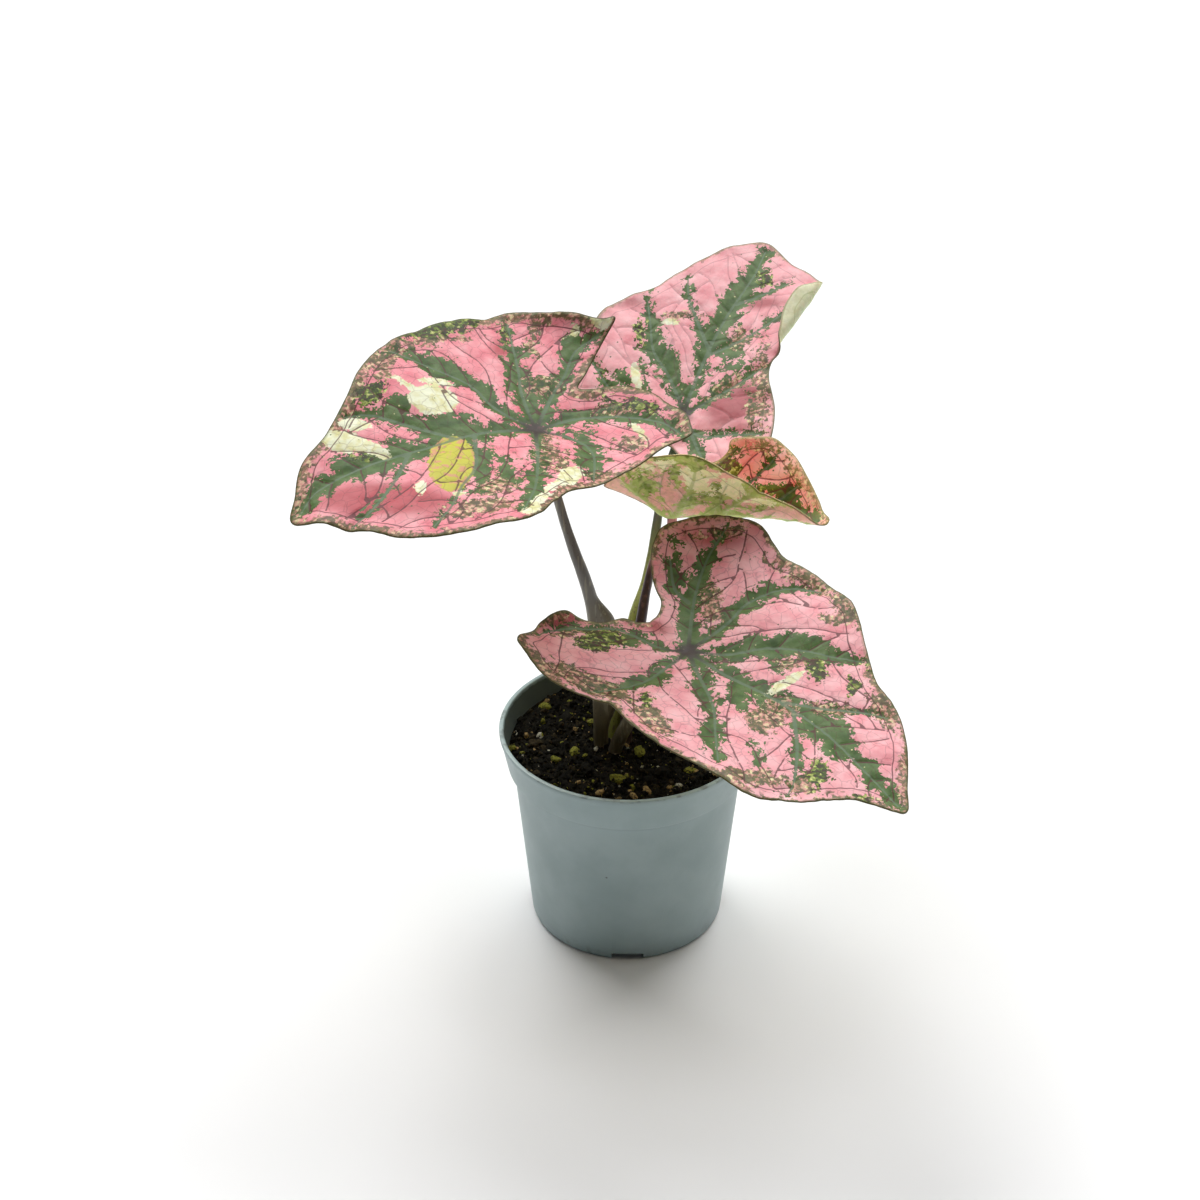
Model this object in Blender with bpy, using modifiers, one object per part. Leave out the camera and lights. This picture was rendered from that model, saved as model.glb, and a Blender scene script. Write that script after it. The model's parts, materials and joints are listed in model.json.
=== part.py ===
"""A young caladium with four painted leaves, growing in its round nursery pot.

Every size below is a real one in millimetres, and MM turns it into metres at the last moment.
The origin is the middle of the pot's base, +Z is up and -Y is the side that faces the viewer.
Each leaf is drawn flat, in millimetres from the place where its stalk joins it: along the
midrib towards the tip, and across it with the leaf's left side positive. It is then curled,
lifted and folded, and set at its own heading, pitch and roll.
"""

import math
from dataclasses import dataclass

import bmesh
import bpy
import numpy as np
from mathutils.geometry import delaunay_2d_cdt

MM = 0.001
GAP = 0.3  # clearance between pieces that touch
WELD = 0.02  # points nearer than this are one
SEED = 41

# Pot
POT_HEIGHT = 51.5
RIM_RADIUS = 30.0
LIP_WIDTH = 1.1
LIP_ROUND = 0.3
LIP_DEPTH = 1.8
BAND_HEIGHT = 9.4  # the thicker band below the rim
BAND_FOOT_RADIUS = 28.2
BAND_ROUND = 0.4
BODY_TOP_RADIUS = 26.8
BASE_RADIUS = 22.8
BASE_ROUND = 0.8
BASE_EASE = 0.2
WALL = 0.95
FLOOR = 1.2
INNER_STEP = (0.9, 0.6)  # how far the inner wall's slope runs below and above the band's foot
NOTCH_WIDTH = 7.5
NOTCH_HEIGHT = 1.9
NOTCH_DEPTH = 3.0
NOTCH_REACH = 0.8  # how far a notch's block stands out of the wall
NOTCHES = 4
POT_SIDES = 56

# Soil
SOIL_LEVEL = 46.0
SOIL_RINGS = 9
SOIL_SIDES = 52
SOIL_EDGE = 2.0  # width by the wall where the crumbs level out
LUMPS = 110
LUMP_RADIUS = (1.6, 4.2)
LUMP_HEIGHT = (0.3, 1.3)

# Tuber
TUBER_CENTRE = (-3.7, 0.0, 25.0)
TUBER_SIZE = (11.0, 10.5, 8.5)  # half its width, depth and height
TUBER_WAVE = 0.5
TUBER_WAVES = 5
TUBER_CLEARANCE = 0.45

# Stalks
TUBE_STEP = 4.0
TUBE_BEVEL_RESOLUTION = 2
HOLE_CLEARANCE = 0.39
HOLE_FOOT = 3.0  # how far a stalk's hole runs on into the tuber's hollow
HOLE_TOP = 12.0  # how far its block stands out of the soil
NECK = 3.5  # length over which a stalk turns towards its blade
NECK_LEAN = 1.6  # how much more it keeps its own direction than it turns square

# Blades
BLADE_THICKNESS = 0.7
RIB_HEIGHT = 0.6  # how far the main veins stand out below
GROOVE_DEPTH = 0.35  # how far they lie below the upper face
QUILT_HEIGHT = 0.5  # how far the blade swells between them
QUILT_REACH = 5.0
VEIN_HALF_WIDTH = 1.1
MIDRIB_WIDTH = 1.3  # times as wide as the side veins
SIDE_VEIN_HEIGHT = 0.8
VEIN_NARROWS = 0.5  # share of its width that a vein loses by its end
VEIN_SINKS = 0.6  # share of its height
CREASE_SOFT = 0.1  # round stretch beside the midrib, in units
RIPPLE_LIMIT = 1.3  # the ripple grows no more past this distance, in units
UNIT = 50.0  # length that the lift terms are measured in
MARGIN_STEP = 3.0
VEIN_STEP = 4.0
MESH_STEP = 4.8
CLOSEST = 1.0  # no two places of a blade's mesh lie nearer than this
FLANK = 1.4  # where rows of places run beside a vein, in vein half widths
FILL = 0.62  # how near the filling places may come to the others, in mesh steps


@dataclass(frozen=True)
class Bend:
    """A turn of the blade beyond a straight line drawn on it."""

    at: tuple  # a point on the line
    toward: float  # direction square to the line, out over what turns, in degrees
    radius: float
    angle: float  # upwards where positive, in degrees
    span: float = 1000.0  # half the length of line that turns fully
    fade: float = 6.0


@dataclass(frozen=True)
class Leaf:
    """One leaf blade, flat outline first and then how it lies in space."""

    name: str
    attach: tuple
    heading: float
    pitch: float
    roll: float
    lift: dict  # height in mm for powers of (along / UNIT, across / UNIT)
    outline: tuple
    veins: tuple
    crease: float = 0.0  # how far the halves rise from the midrib, at UNIT away
    lobe_rise: tuple = (0.0, 0.0)  # left and right, behind the stalk
    curls: tuple = ()  # turns of the margin, before the lift
    folds: tuple = ()  # turns of a whole half, after it
    ripple: tuple = (0.8, 7, 0.0)  # height, waves round the margin, phase in degrees


@dataclass(frozen=True)
class Stalk:
    """A leaf stalk: (x, y, z, radius) from the soil up to just under its neck."""

    name: str
    leaf: str
    route: tuple
    top_radius: float
    colour: tuple


LEFT = Leaf(
    name="blade_left",
    attach=(-20.3, 0.0, 129.3),
    heading=214.0,
    pitch=12.0,
    roll=-12.0,
    lift={(2, 0): -5.0, (3, 0): -7.0},
    crease=6.0,
    lobe_rise=(30.0, 30.0),
    curls=(Bend(at=(-24.0, -17.0), toward=216.0, radius=5.0, angle=45.0),),
    ripple=(0.8, 7, 20.0),
    outline=(
        (57.5, 3.5), (54.5, -2.5), (50.5, -9.0), (43.5, -13.5), (36.0, -20.5), (31.5, -25.5),
        (26.0, -30.0), (19.5, -33.5), (10.5, -36.0), (3.0, -36.5), (-5.0, -36.0), (-12.0, -36.5),
        (-18.0, -32.5), (-23.0, -28.0), (-27.0, -22.5), (-29.0, -20.0), (-25.5, -17.5),
        (-18.0, -11.0), (-15.0, -8.5), (-17.5, -6.5), (-22.5, -5.0), (-26.0, -0.5), (-27.5, 6.5),
        (-28.0, 12.5), (-27.0, 17.5), (-25.5, 19.5), (-21.0, 19.0), (-14.5, 20.5), (-6.5, 23.0),
        (-0.5, 24.5), (6.5, 25.5), (13.5, 28.5), (19.0, 32.0), (25.0, 32.0), (31.5, 30.5),
        (38.5, 27.5), (43.5, 24.5), (48.5, 18.5), (53.5, 11.0),
    ),
    veins=(
        ((0, 0), (14, -1), (27, 0), (40, -1), (50, -1), (55, 2)),
        ((0, 0), (6, -8), (8, -16), (14, -23), (21, -31)),
        ((0, 0), (-3, -12), (-6, -19), (-9, -28), (-11, -34)),
        ((0, 0), (-9, -9), (-15, -14), (-20, -19), (-26, -20)),
        ((0, 0), (-10, -1), (-17, 2), (-20, 5), (-24, 11), (-25, 17)),
        ((0, 0), (-6, 5), (-7, 12), (-1, 22)),
        ((0, 0), (7, 12), (14, 22), (21, 29)),
        ((15, -1), (21, 10), (27, 15), (32, 20), (38, 24)),
        ((20, -1), (27, -8), (33, -14), (38, -16)),
        ((31, 0), (38, 7), (45, 12), (50, 14)),
    ),
)

FRONT = Leaf(
    name="blade_front",
    attach=(12.7, -22.0, 86.6),
    heading=-48.0,
    pitch=-3.5,
    roll=3.0,
    lift={(2, 0): 2.8, (1, 1): -1.8, (0, 2): 5.5, (3, 0): -4.6, (2, 1): 1.5, (1, 2): -8.5},
    crease=7.0,
    lobe_rise=(8.0, 0.5),
    ripple=(0.8, 6, 100.0),
    outline=(
        (65.5, -1.5), (61.0, 4.0), (55.5, 10.0), (50.5, 14.5), (44.5, 18.0), (38.0, 20.0),
        (32.0, 23.5), (26.0, 27.5), (22.0, 30.5), (17.0, 33.0), (9.5, 34.0), (2.0, 34.0),
        (-3.5, 33.0), (-8.0, 34.0), (-12.0, 35.0), (-16.0, 34.5), (-20.0, 32.0), (-23.5, 29.0),
        (-26.5, 25.5), (-28.5, 22.0), (-29.0, 18.5), (-27.5, 15.0), (-25.0, 12.0), (-22.0, 9.5),
        (-18.5, 7.5), (-14.5, 5.5), (-12.0, 1.5), (-13.5, -2.0), (-17.0, -4.0), (-17.5, -8.5),
        (-21.0, -11.5), (-23.5, -15.0), (-23.5, -20.0), (-21.0, -27.0), (-20.0, -31.5),
        (-16.0, -33.5), (-10.0, -35.0), (-4.5, -35.5), (1.5, -34.0), (5.0, -31.5), (7.0, -29.8),
        (11.0, -30.5), (18.0, -32.0), (23.0, -31.5), (29.5, -29.0), (36.5, -27.0), (43.0, -25.5),
        (48.0, -21.5), (52.0, -17.0), (55.5, -10.5), (59.5, -6.0),
    ),
    veins=(
        ((0, 0), (12, 0), (23, 1.5), (38, 2), (54, 0), (63, -1)),
        ((0, 0), (-9, 10), (-14, 17), (-17, 23), (-19, 30)),
        ((-11, 10.5), (-16, 11), (-23, 16)),
        ((0, 0), (0, 12), (-1, 19), (2, 27), (9, 32)),
        ((0, 0), (7, 5), (12, 12), (19, 17), (25, 20), (30, 23)),
        ((0, 0), (-4, -4), (-12, -6), (-16, -9), (-20, -18), (-20, -26)),
        ((0, 0), (2, -8), (4, -17), (3, -25), (1, -31)),
        ((0, 0), (7, -4), (18, -10), (26, -17), (33, -23)),
        ((26, 2), (34, 7), (41, 13), (45, 15)),
        ((30, 2), (39, -6), (46, -14), (48, -18)),
    ),
)

BACK = Leaf(
    name="blade_back",
    attach=(13.2, 52.0, 105.7),
    heading=66.0,
    pitch=25.0,
    roll=0.0,
    lift={(2, 0): -2.0, (3, 0): -2.0},
    crease=4.0,
    lobe_rise=(6.0, 6.0),
    curls=(Bend(at=(37.5, -16.0), toward=-98.0, radius=2.0, angle=140.0, span=9.0),),
    ripple=(0.8, 7, 0.0),
    outline=(
        (63.0, 1.5), (59.0, 7.5), (55.0, 11.0), (47.0, 16.0), (38.5, 21.0), (32.0, 26.0),
        (25.0, 30.5), (13.5, 31.0), (2.0, 29.5), (-8.0, 30.5), (-17.0, 28.0), (-23.0, 22.0),
        (-24.0, 15.5), (-20.0, 9.0), (-14.0, 4.0), (-10.0, 0.0), (-12.5, -4.0), (-17.5, -8.0),
        (-20.5, -12.0), (-19.5, -17.0), (-14.5, -21.5), (-8.0, -23.5), (-2.0, -24.0),
        (6.5, -21.5), (14.5, -17.2), (20.0, -16.0), (27.0, -18.5), (35.0, -21.0), (43.0, -21.0),
        (49.5, -17.5), (51.5, -14.5), (57.5, -6.5),
    ),
    veins=(
        ((0, 0), (16, 1), (32, 1), (49, 0), (60, 1)),
        ((0, 0), (3, 1.5), (11, 8), (17, 14), (25, 18), (33, 22)),
        ((0, 0), (-2, 11), (2, 19), (9, 27)),
        ((0, 0), (-5, 8), (-10, 15), (-15, 24)),
        ((0, 0), (-5, -6), (-3, -15), (-2, -21)),
        ((0, 0), (-6, -5), (-12, -10), (-16, -16)),
        ((0, 0), (6, -5), (12, -10), (18, -14)),
        ((21, 1), (29, 7), (36, 12), (43, 15)),
        ((19, 1), (27, -6), (35, -11), (43, -14)),
        ((38, 0), (45, -6), (50, -10)),
    ),
)

RIGHT = Leaf(
    name="blade_right",
    attach=(10.2, 23.0, 95.5),
    heading=-14.0,
    pitch=8.0,
    roll=0.0,
    lift={(3, 0): -7.0},
    folds=(
        Bend(at=(0.0, 0.0), toward=-90.0, radius=4.0, angle=66.0),
        Bend(at=(0.0, 0.0), toward=90.0, radius=4.0, angle=48.0),
    ),
    ripple=(0.5, 6, 0.0),
    outline=(
        (37.0, -0.5), (30.5, -7.0), (25.0, -10.5), (19.0, -16.0), (14.5, -21.5), (9.5, -24.5),
        (3.5, -25.0), (-2.5, -23.0), (-8.0, -19.5), (-13.0, -14.0), (-12.5, -12.0),
        (-5.5, -8.5), (-3.0, -4.5), (-2.5, -0.5), (-4.0, 3.0), (-8.0, 5.0), (-11.0, 9.0),
        (-9.0, 12.0), (-3.0, 12.5), (4.0, 12.0), (9.0, 12.7), (12.0, 15.0), (13.0, 17.8),
        (17.0, 18.5), (22.5, 18.5), (25.5, 16.5), (28.5, 13.5), (31.0, 9.5), (33.0, 6.0),
        (35.0, 2.2),
    ),
    veins=(
        ((0, 0), (12, 0), (24, 0), (34, -0.5)),
        ((0, 0), (4, -8), (8, -15), (10, -21)),
        ((0, 0), (-3, -8), (-6, -13), (-8, -16)),
        ((8, 0), (15, -7), (20, -11), (23, -12)),
        ((0, 0), (5, 6), (9, 11), (14, 16)),
        ((0, 0), (-3, 5), (-7, 8), (-9, 10)),
        ((10, 0), (17, 7), (22, 12), (24, 15)),
        ((20, 0), (25, 4), (29, 7)),
    ),
)

LEAVES = (LEFT, FRONT, BACK, RIGHT)

STALKS = (
    Stalk(
        name="petiole_left",
        leaf="blade_left",
        route=(
            (-6.2, -0.6, 36.0, 1.6), (-6.2, -0.6, 46.0, 1.7), (-6.3, -0.4, 62.0, 2.0),
            (-6.3, -0.2, 74.0, 2.6), (-6.4, 0.0, 80.5, 2.7), (-7.2, 0.0, 88.0, 1.7),
            (-10.0, 0.0, 96.3, 1.25), (-12.0, 0.0, 104.0, 1.15), (-14.2, 0.0, 111.7, 1.1),
            (-17.8, 0.1, 121.0, 1.1),
        ),
        top_radius=1.2,
        colour=(0.16, 0.10, 0.11),
    ),
    Stalk(
        name="petiole_back",
        leaf="blade_back",
        route=(
            (-3.6, 2.9, 36.0, 1.5), (-3.4, 3.0, 46.0, 1.6), (-0.9, 7.5, 59.5, 1.9),
            (1.7, 14.5, 71.3, 1.7), (4.3, 20.5, 77.2, 1.4), (5.8, 26.0, 82.2, 1.2),
            (6.9, 31.5, 86.9, 1.1), (7.9, 36.5, 91.0, 1.0), (10.2, 44.0, 97.0, 1.0),
        ),
        top_radius=1.1,
        colour=(0.17, 0.18, 0.16),
    ),
    Stalk(
        name="petiole_right",
        leaf="blade_right",
        route=(
            (-0.6, -0.2, 36.0, 1.4), (-0.6, -0.2, 46.0, 1.5), (1.2, 4.6, 60.5, 1.5),
            (4.2, 11.5, 73.5, 1.3), (5.2, 15.0, 79.1, 1.1), (6.5, 18.3, 85.3, 0.95),
        ),
        top_radius=1.0,
        colour=(0.55, 0.30, 0.30),
    ),
    Stalk(
        name="petiole_front",
        leaf="blade_front",
        route=(
            (-3.4, -3.5, 36.0, 1.5), (-3.2, -3.7, 46.0, 1.6), (0.6, -6.8, 58.0, 1.6),
            (6.2, -12.2, 70.0, 1.3), (10.6, -18.0, 79.0, 1.1),
        ),
        top_radius=1.2,
        colour=(0.20, 0.14, 0.14),
    ),
)


def clear_scene():
    for obj in list(bpy.data.objects):
        bpy.data.objects.remove(obj, do_unlink=True)


def new_collection(name):
    collection = bpy.data.collections.new(name)
    bpy.context.scene.collection.children.link(collection)
    return collection


def plain_material(name, colour, roughness):
    """A Principled finish with no metal in it."""
    made = bpy.data.materials.new(name)
    made.use_nodes = True
    shader = made.node_tree.nodes["Principled BSDF"]
    shader.inputs["Base Color"].default_value = (*colour, 1.0)
    shader.inputs["Roughness"].default_value = roughness
    shader.inputs["Metallic"].default_value = 0.0
    return made


def add_object(name, data, collection, finish=None):
    obj = bpy.data.objects.new(name, data)
    collection.objects.link(obj)
    if finish is not None:
        data.materials.append(finish)
    return obj


def evaluated_mesh(obj):
    """The object's mesh with its modifiers applied and the caps of a curve welded."""
    graph = bpy.context.evaluated_depsgraph_get()
    mesh = bpy.data.meshes.new_from_object(obj.evaluated_get(graph), depsgraph=graph)
    work = bmesh.new()
    work.from_mesh(mesh)
    bmesh.ops.remove_doubles(work, verts=work.verts, dist=WELD * MM)
    bmesh.ops.recalc_face_normals(work, faces=work.faces)
    work.to_mesh(mesh)
    work.free()
    return mesh


def hide_cutter(obj):
    obj.hide_render = True
    obj.display_type = "WIRE"


def cut(target, cutter):
    """Takes the cutter out of the target."""
    hide_cutter(cutter)
    boolean = target.modifiers.new("cut " + cutter.name, "BOOLEAN")
    boolean.operation = "DIFFERENCE"
    boolean.solver = "EXACT"
    boolean.object = cutter


def turn_profile(name, profile, sides, collection, finish):
    """A turned solid from a profile of (radius, height) that runs down its outer side."""
    mesh = bpy.data.meshes.new(name)
    points = [(radius * MM, 0.0, height * MM) for radius, height in profile]
    mesh.from_pydata(points, [(i, i + 1) for i in range(len(points) - 1)], [])
    obj = add_object(name, mesh, collection, finish)
    screw = obj.modifiers.new("turn", "SCREW")
    screw.axis = "Z"
    screw.steps = sides
    screw.render_steps = sides
    screw.use_merge_vertices = True
    screw.merge_threshold = 0.0001
    screw.use_smooth_shade = True
    return obj


def smooth_route(points, step):
    """Points about step apart on a smooth curve through the rows of points."""
    rows = np.asarray(points, float)
    ends = np.vstack([2 * rows[0] - rows[1], rows, 2 * rows[-1] - rows[-2]])
    made = []
    for before, start, end, after in zip(ends, ends[1:], ends[2:], ends[3:]):
        pieces = max(1, round(float(np.linalg.norm((end - start)[:3])) / step))
        for i in range(pieces):
            made.append(between(before, start, end, after, i / pieces))
    made.append(rows[-1])
    return np.array(made)


def smooth_loop(points, step):
    """Points about step apart on a smooth closed curve through the points."""
    rows = np.asarray(points, float)
    made = []
    for i, start in enumerate(rows):
        end = rows[(i + 1) % len(rows)]
        after = rows[(i + 2) % len(rows)]
        pieces = max(1, round(float(np.linalg.norm(end - start)) / step))
        for k in range(pieces):
            made.append(between(rows[i - 1], start, end, after, k / pieces))
    return np.array(made)


def between(before, start, end, after, t):
    """A Catmull-Rom point, t of the way from start to end."""
    return 0.5 * (
        2 * start
        + (end - before) * t
        + (2 * before - 5 * start + 4 * end - after) * t**2
        + (3 * start - before - 3 * end + after) * t**3
    )


def body_radius(height):
    """The pot's outer radius below its band."""
    share = height / (POT_HEIGHT - BAND_HEIGHT)
    return BASE_RADIUS + (BODY_TOP_RADIUS - BASE_RADIUS) * share


def inner_profile():
    """The pot's inner face, from the floor up to the lip."""
    band_foot = POT_HEIGHT - BAND_HEIGHT
    return (
        (body_radius(FLOOR) - WALL, FLOOR),
        (BODY_TOP_RADIUS - WALL, band_foot - INNER_STEP[0]),
        (BAND_FOOT_RADIUS - WALL, band_foot + INNER_STEP[1]),
        (RIM_RADIUS - LIP_WIDTH, POT_HEIGHT - LIP_ROUND),
    )


def make_pot(parts, cutters):
    """A thin moulded pot: tapered body, a band below the rim and drain notches at the base."""
    band_foot = POT_HEIGHT - BAND_HEIGHT
    profile = [(0.0, FLOOR)]
    profile += list(inner_profile())
    profile += [
        (RIM_RADIUS - LIP_WIDTH + LIP_ROUND, POT_HEIGHT),
        (RIM_RADIUS - LIP_ROUND, POT_HEIGHT),
        (RIM_RADIUS, POT_HEIGHT - LIP_ROUND),
        (RIM_RADIUS - LIP_ROUND, POT_HEIGHT - LIP_DEPTH),
        (BAND_FOOT_RADIUS, band_foot + BAND_ROUND),
        (BAND_FOOT_RADIUS - BAND_ROUND, band_foot),
        (BODY_TOP_RADIUS, band_foot - BAND_ROUND / 4),
        (body_radius(BASE_ROUND), BASE_ROUND),
        (BASE_RADIUS - BASE_EASE, BASE_EASE),
        (BASE_RADIUS - BASE_ROUND, 0.0),
        (0.0, 0.0),
    ]
    finish = plain_material("pot_plastic", (0.24, 0.30, 0.31), 0.5)
    pot = turn_profile("pot", profile, POT_SIDES, parts, finish)
    for i in range(NOTCHES):
        angle = -math.pi / 2 + math.tau * i / NOTCHES
        cut(pot, notch_cutter(i, angle, cutters))


def notch_cutter(index, angle, cutters):
    """A block that takes a drain notch out of the base corner at this angle."""
    bpy.ops.mesh.primitive_cube_add(size=1.0)
    block = bpy.context.object
    block.name = f"notch_cutter_{index}"
    for collection in list(block.users_collection):
        collection.objects.unlink(block)
    cutters.objects.link(block)
    middle = (BASE_RADIUS - NOTCH_DEPTH / 2 + NOTCH_REACH) * MM
    block.location = (middle * math.cos(angle), middle * math.sin(angle), 0.0)
    block.rotation_euler = (0.0, 0.0, angle)
    block.scale = (NOTCH_DEPTH * MM, NOTCH_WIDTH * MM, 2 * NOTCH_HEIGHT * MM)
    return block


def soil_radius():
    """Where the soil's top meets the pot's wall."""
    (_, _), (_, _), (low_radius, low), (high_radius, high) = inner_profile()
    share = (SOIL_LEVEL - low) / (high - low)
    return low_radius + (high_radius - low_radius) * share - GAP


def soil_bumps(x, y):
    """Height of the crumbs at each place on the soil, in mm."""
    draw = np.random.default_rng(SEED)
    bumps = np.zeros_like(x)
    for _ in range(LUMPS):
        distance = soil_radius() * math.sqrt(draw.random())
        angle = draw.random() * math.tau
        radius = draw.uniform(*LUMP_RADIUS)
        height = draw.uniform(*LUMP_HEIGHT)
        away = np.hypot(x - distance * math.cos(angle), y - distance * math.sin(angle))
        bumps = np.maximum(bumps, height * np.exp(-((away / radius) ** 2)))
    return bumps


def make_soil(parts, cutters, tuber_mesh, stalk_meshes):
    """The soil that fills the pot, with a hollow for the tuber and a hole for each stalk."""
    inner = inner_profile()
    profile = [(soil_radius() * i / SOIL_RINGS, SOIL_LEVEL) for i in range(SOIL_RINGS + 1)]
    profile.append((inner[2][0] - GAP, inner[2][1]))
    profile.append((inner[1][0] - GAP, inner[1][1]))
    profile.append((inner[0][0] - GAP, inner[0][1] + GAP))
    profile.append((0.0, FLOOR + GAP))
    finish = plain_material("soil", (0.035, 0.025, 0.018), 0.95)
    turned = turn_profile("soil_turned", profile, SOIL_SIDES, parts, finish)
    mesh = evaluated_mesh(turned)
    bpy.data.objects.remove(turned, do_unlink=True)
    for vertex in mesh.vertices:
        if vertex.co.z > (SOIL_LEVEL - GAP) * MM:
            x, y = np.array(vertex.co.x / MM), np.array(vertex.co.y / MM)
            edge = min(1.0, (soil_radius() - float(np.hypot(x, y))) / SOIL_EDGE)
            vertex.co.z += float(soil_bumps(x, y)) * MM * edge
    soil = add_object("soil", mesh, parts)
    hollow = add_object("tuber_cutter", tuber_mesh, cutters)
    cut(soil, hollow)
    for name, hole in stalk_meshes.items():
        cut(soil, add_object(name + "_cutter", hole, cutters))


def tuber_mesh(grow):
    """A lumpy flattened ball, its half sizes larger by grow."""
    bpy.ops.mesh.primitive_ico_sphere_add(subdivisions=3, radius=1.0)
    ball = bpy.context.object
    mesh = ball.data.copy()
    bpy.data.objects.remove(ball, do_unlink=True)
    for vertex in mesh.vertices:
        x, y, z = vertex.co
        wave = TUBER_WAVE * math.sin(TUBER_WAVES * math.atan2(y, x)) * (1 - z * z)
        for axis in range(3):
            half = TUBER_SIZE[axis] + grow + wave
            vertex.co[axis] = (TUBER_CENTRE[axis] + vertex.co[axis] * half) * MM
    return mesh


def tuber_top(x, y):
    """Height of the tuber's upper face, in mm."""
    across = (x - TUBER_CENTRE[0]) / TUBER_SIZE[0]
    deep = (y - TUBER_CENTRE[1]) / TUBER_SIZE[1]
    return TUBER_CENTRE[2] + TUBER_SIZE[2] * math.sqrt(1 - across**2 - deep**2)


def make_tuber(parts):
    finish = plain_material("tuber_skin", (0.20, 0.12, 0.07), 0.9)
    add_object("tuber", tuber_mesh(0.0), parts, finish)


def tube_curve(name, route, radii):
    """A curve with round filled ends; radii are in mm at each point of the route."""
    curve = bpy.data.curves.new(name, "CURVE")
    curve.dimensions = "3D"
    curve.bevel_depth = MM
    curve.bevel_resolution = TUBE_BEVEL_RESOLUTION
    curve.use_fill_caps = True
    spline = curve.splines.new("POLY")
    spline.points.add(len(route) - 1)
    for point, place, radius in zip(spline.points, route, radii):
        point.co = (*(place * MM), 1.0)
        point.radius = radius
    return curve


def stalk_route(stalk):
    """Centre line and radii of a stalk, from the tuber to just below its blade."""
    leaf = next(leaf for leaf in LEAVES if leaf.name == stalk.leaf)
    _, _, normal = leaf_axes(leaf)
    attach = np.array(leaf.attach)
    arriving = attach - np.array(stalk.route[-1][:3])
    turned = normal + NECK_LEAN * arriving / np.linalg.norm(arriving)
    turned /= np.linalg.norm(turned)
    edge = stalk.top_radius * np.linalg.norm(np.cross(turned, normal))
    top = attach - normal * (BLADE_THICKNESS + RIB_HEIGHT + GROOVE_DEPTH + GAP + edge)
    neck = top - turned * NECK
    rows = [list(row) for row in stalk.route]
    rows[0][2] = tuber_top(rows[0][0], rows[0][1]) + GAP
    rows.append([*neck, stalk.top_radius])
    rows.append([*top, stalk.top_radius])
    smooth = smooth_route(rows, TUBE_STEP)
    smooth[-1] = rows[-1]
    return smooth[:, :3], smooth[:, 3]


def make_stalks(parts):
    """The four stalks, and for each a slightly fatter mesh that cuts its hole in the soil."""
    holes = {}
    for stalk in STALKS:
        route, radii = stalk_route(stalk)
        finish = plain_material(stalk.name + "_skin", stalk.colour, 0.5)
        add_object(stalk.name, tube_curve(stalk.name, route, radii), parts, finish)
        buried = route[:, 2] < SOIL_LEVEL + HOLE_TOP
        start = np.vstack([route[0] - (0, 0, HOLE_FOOT), route[buried]])
        widths = np.concatenate([radii[:1], radii[buried]]) + HOLE_CLEARANCE
        fat = add_object("hole", tube_curve("hole", start, widths), parts)
        holes[stalk.name] = evaluated_mesh(fat)
        bpy.data.objects.remove(fat, do_unlink=True)
    return holes


def turn_about(axis, angle):
    """Rotation matrix about a unit axis."""
    x, y, z = axis
    cross = np.array([[0, -z, y], [z, 0, -x], [-y, x, 0]])
    return np.eye(3) + math.sin(angle) * cross + (1 - math.cos(angle)) * cross @ cross


def leaf_axes(leaf):
    """Unit vectors along the midrib, to the leaf's left and out of its upper face."""
    heading, pitch = math.radians(leaf.heading), math.radians(leaf.pitch)
    flat = math.cos(pitch)
    along = np.array([math.cos(heading) * flat, math.sin(heading) * flat, math.sin(pitch)])
    level = np.array([-math.sin(heading), math.cos(heading), 0.0])
    rolled = turn_about(along, math.radians(leaf.roll))
    return along, rolled @ level, rolled @ np.cross(along, level)


def bend_sheet(points, bend):
    """Turns what lies beyond the bend's line about it, round the bend's radius."""
    toward = math.radians(bend.toward)
    out = np.array([math.cos(toward), math.sin(toward)])
    side = np.array([-out[1], out[0]])
    flat = points[:, :2] - np.array(bend.at)
    beyond = flat @ out
    spare = np.clip((np.abs(flat @ side) - bend.span) / bend.fade, 0.0, 1.0)
    share = 1 - spare * spare * (3 - 2 * spare)
    full = math.radians(abs(bend.angle)) * share
    sign = math.copysign(1.0, bend.angle)
    turn = np.minimum(np.maximum(beyond, 0) / bend.radius, full)
    rest = np.maximum(beyond, 0) - turn * bend.radius
    height = points[:, 2] * sign
    reach = bend.radius * np.sin(turn) + rest * np.cos(turn) - height * np.sin(turn)
    rise = bend.radius * (1 - np.cos(turn)) + rest * np.sin(turn) + height * np.cos(turn)
    bent = points.copy()
    moves = beyond > 0
    bent[moves, :2] += (reach - beyond)[moves, None] * out
    bent[moves, 2] = (rise * sign)[moves]
    return bent


def distance_to_line(places, line):
    """Distance from each place to a line of straight pieces, and how far along it that is."""
    rows = np.asarray(line, float)
    lengths = np.linalg.norm(np.diff(rows, axis=0), axis=1)
    passed = np.concatenate([[0.0], np.cumsum(lengths)])
    nearest = np.full(len(places), np.inf)
    along = np.zeros(len(places))
    for i, length in enumerate(lengths):
        step = rows[i + 1] - rows[i]
        t = np.clip((places - rows[i]) @ step / length**2, 0.0, 1.0)
        away = np.linalg.norm(places - rows[i] - t[:, None] * step, axis=1)
        closer = away < nearest
        nearest = np.where(closer, away, nearest)
        along = np.where(closer, (passed[i] + t * length) / passed[-1], along)
    return nearest, along


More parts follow.
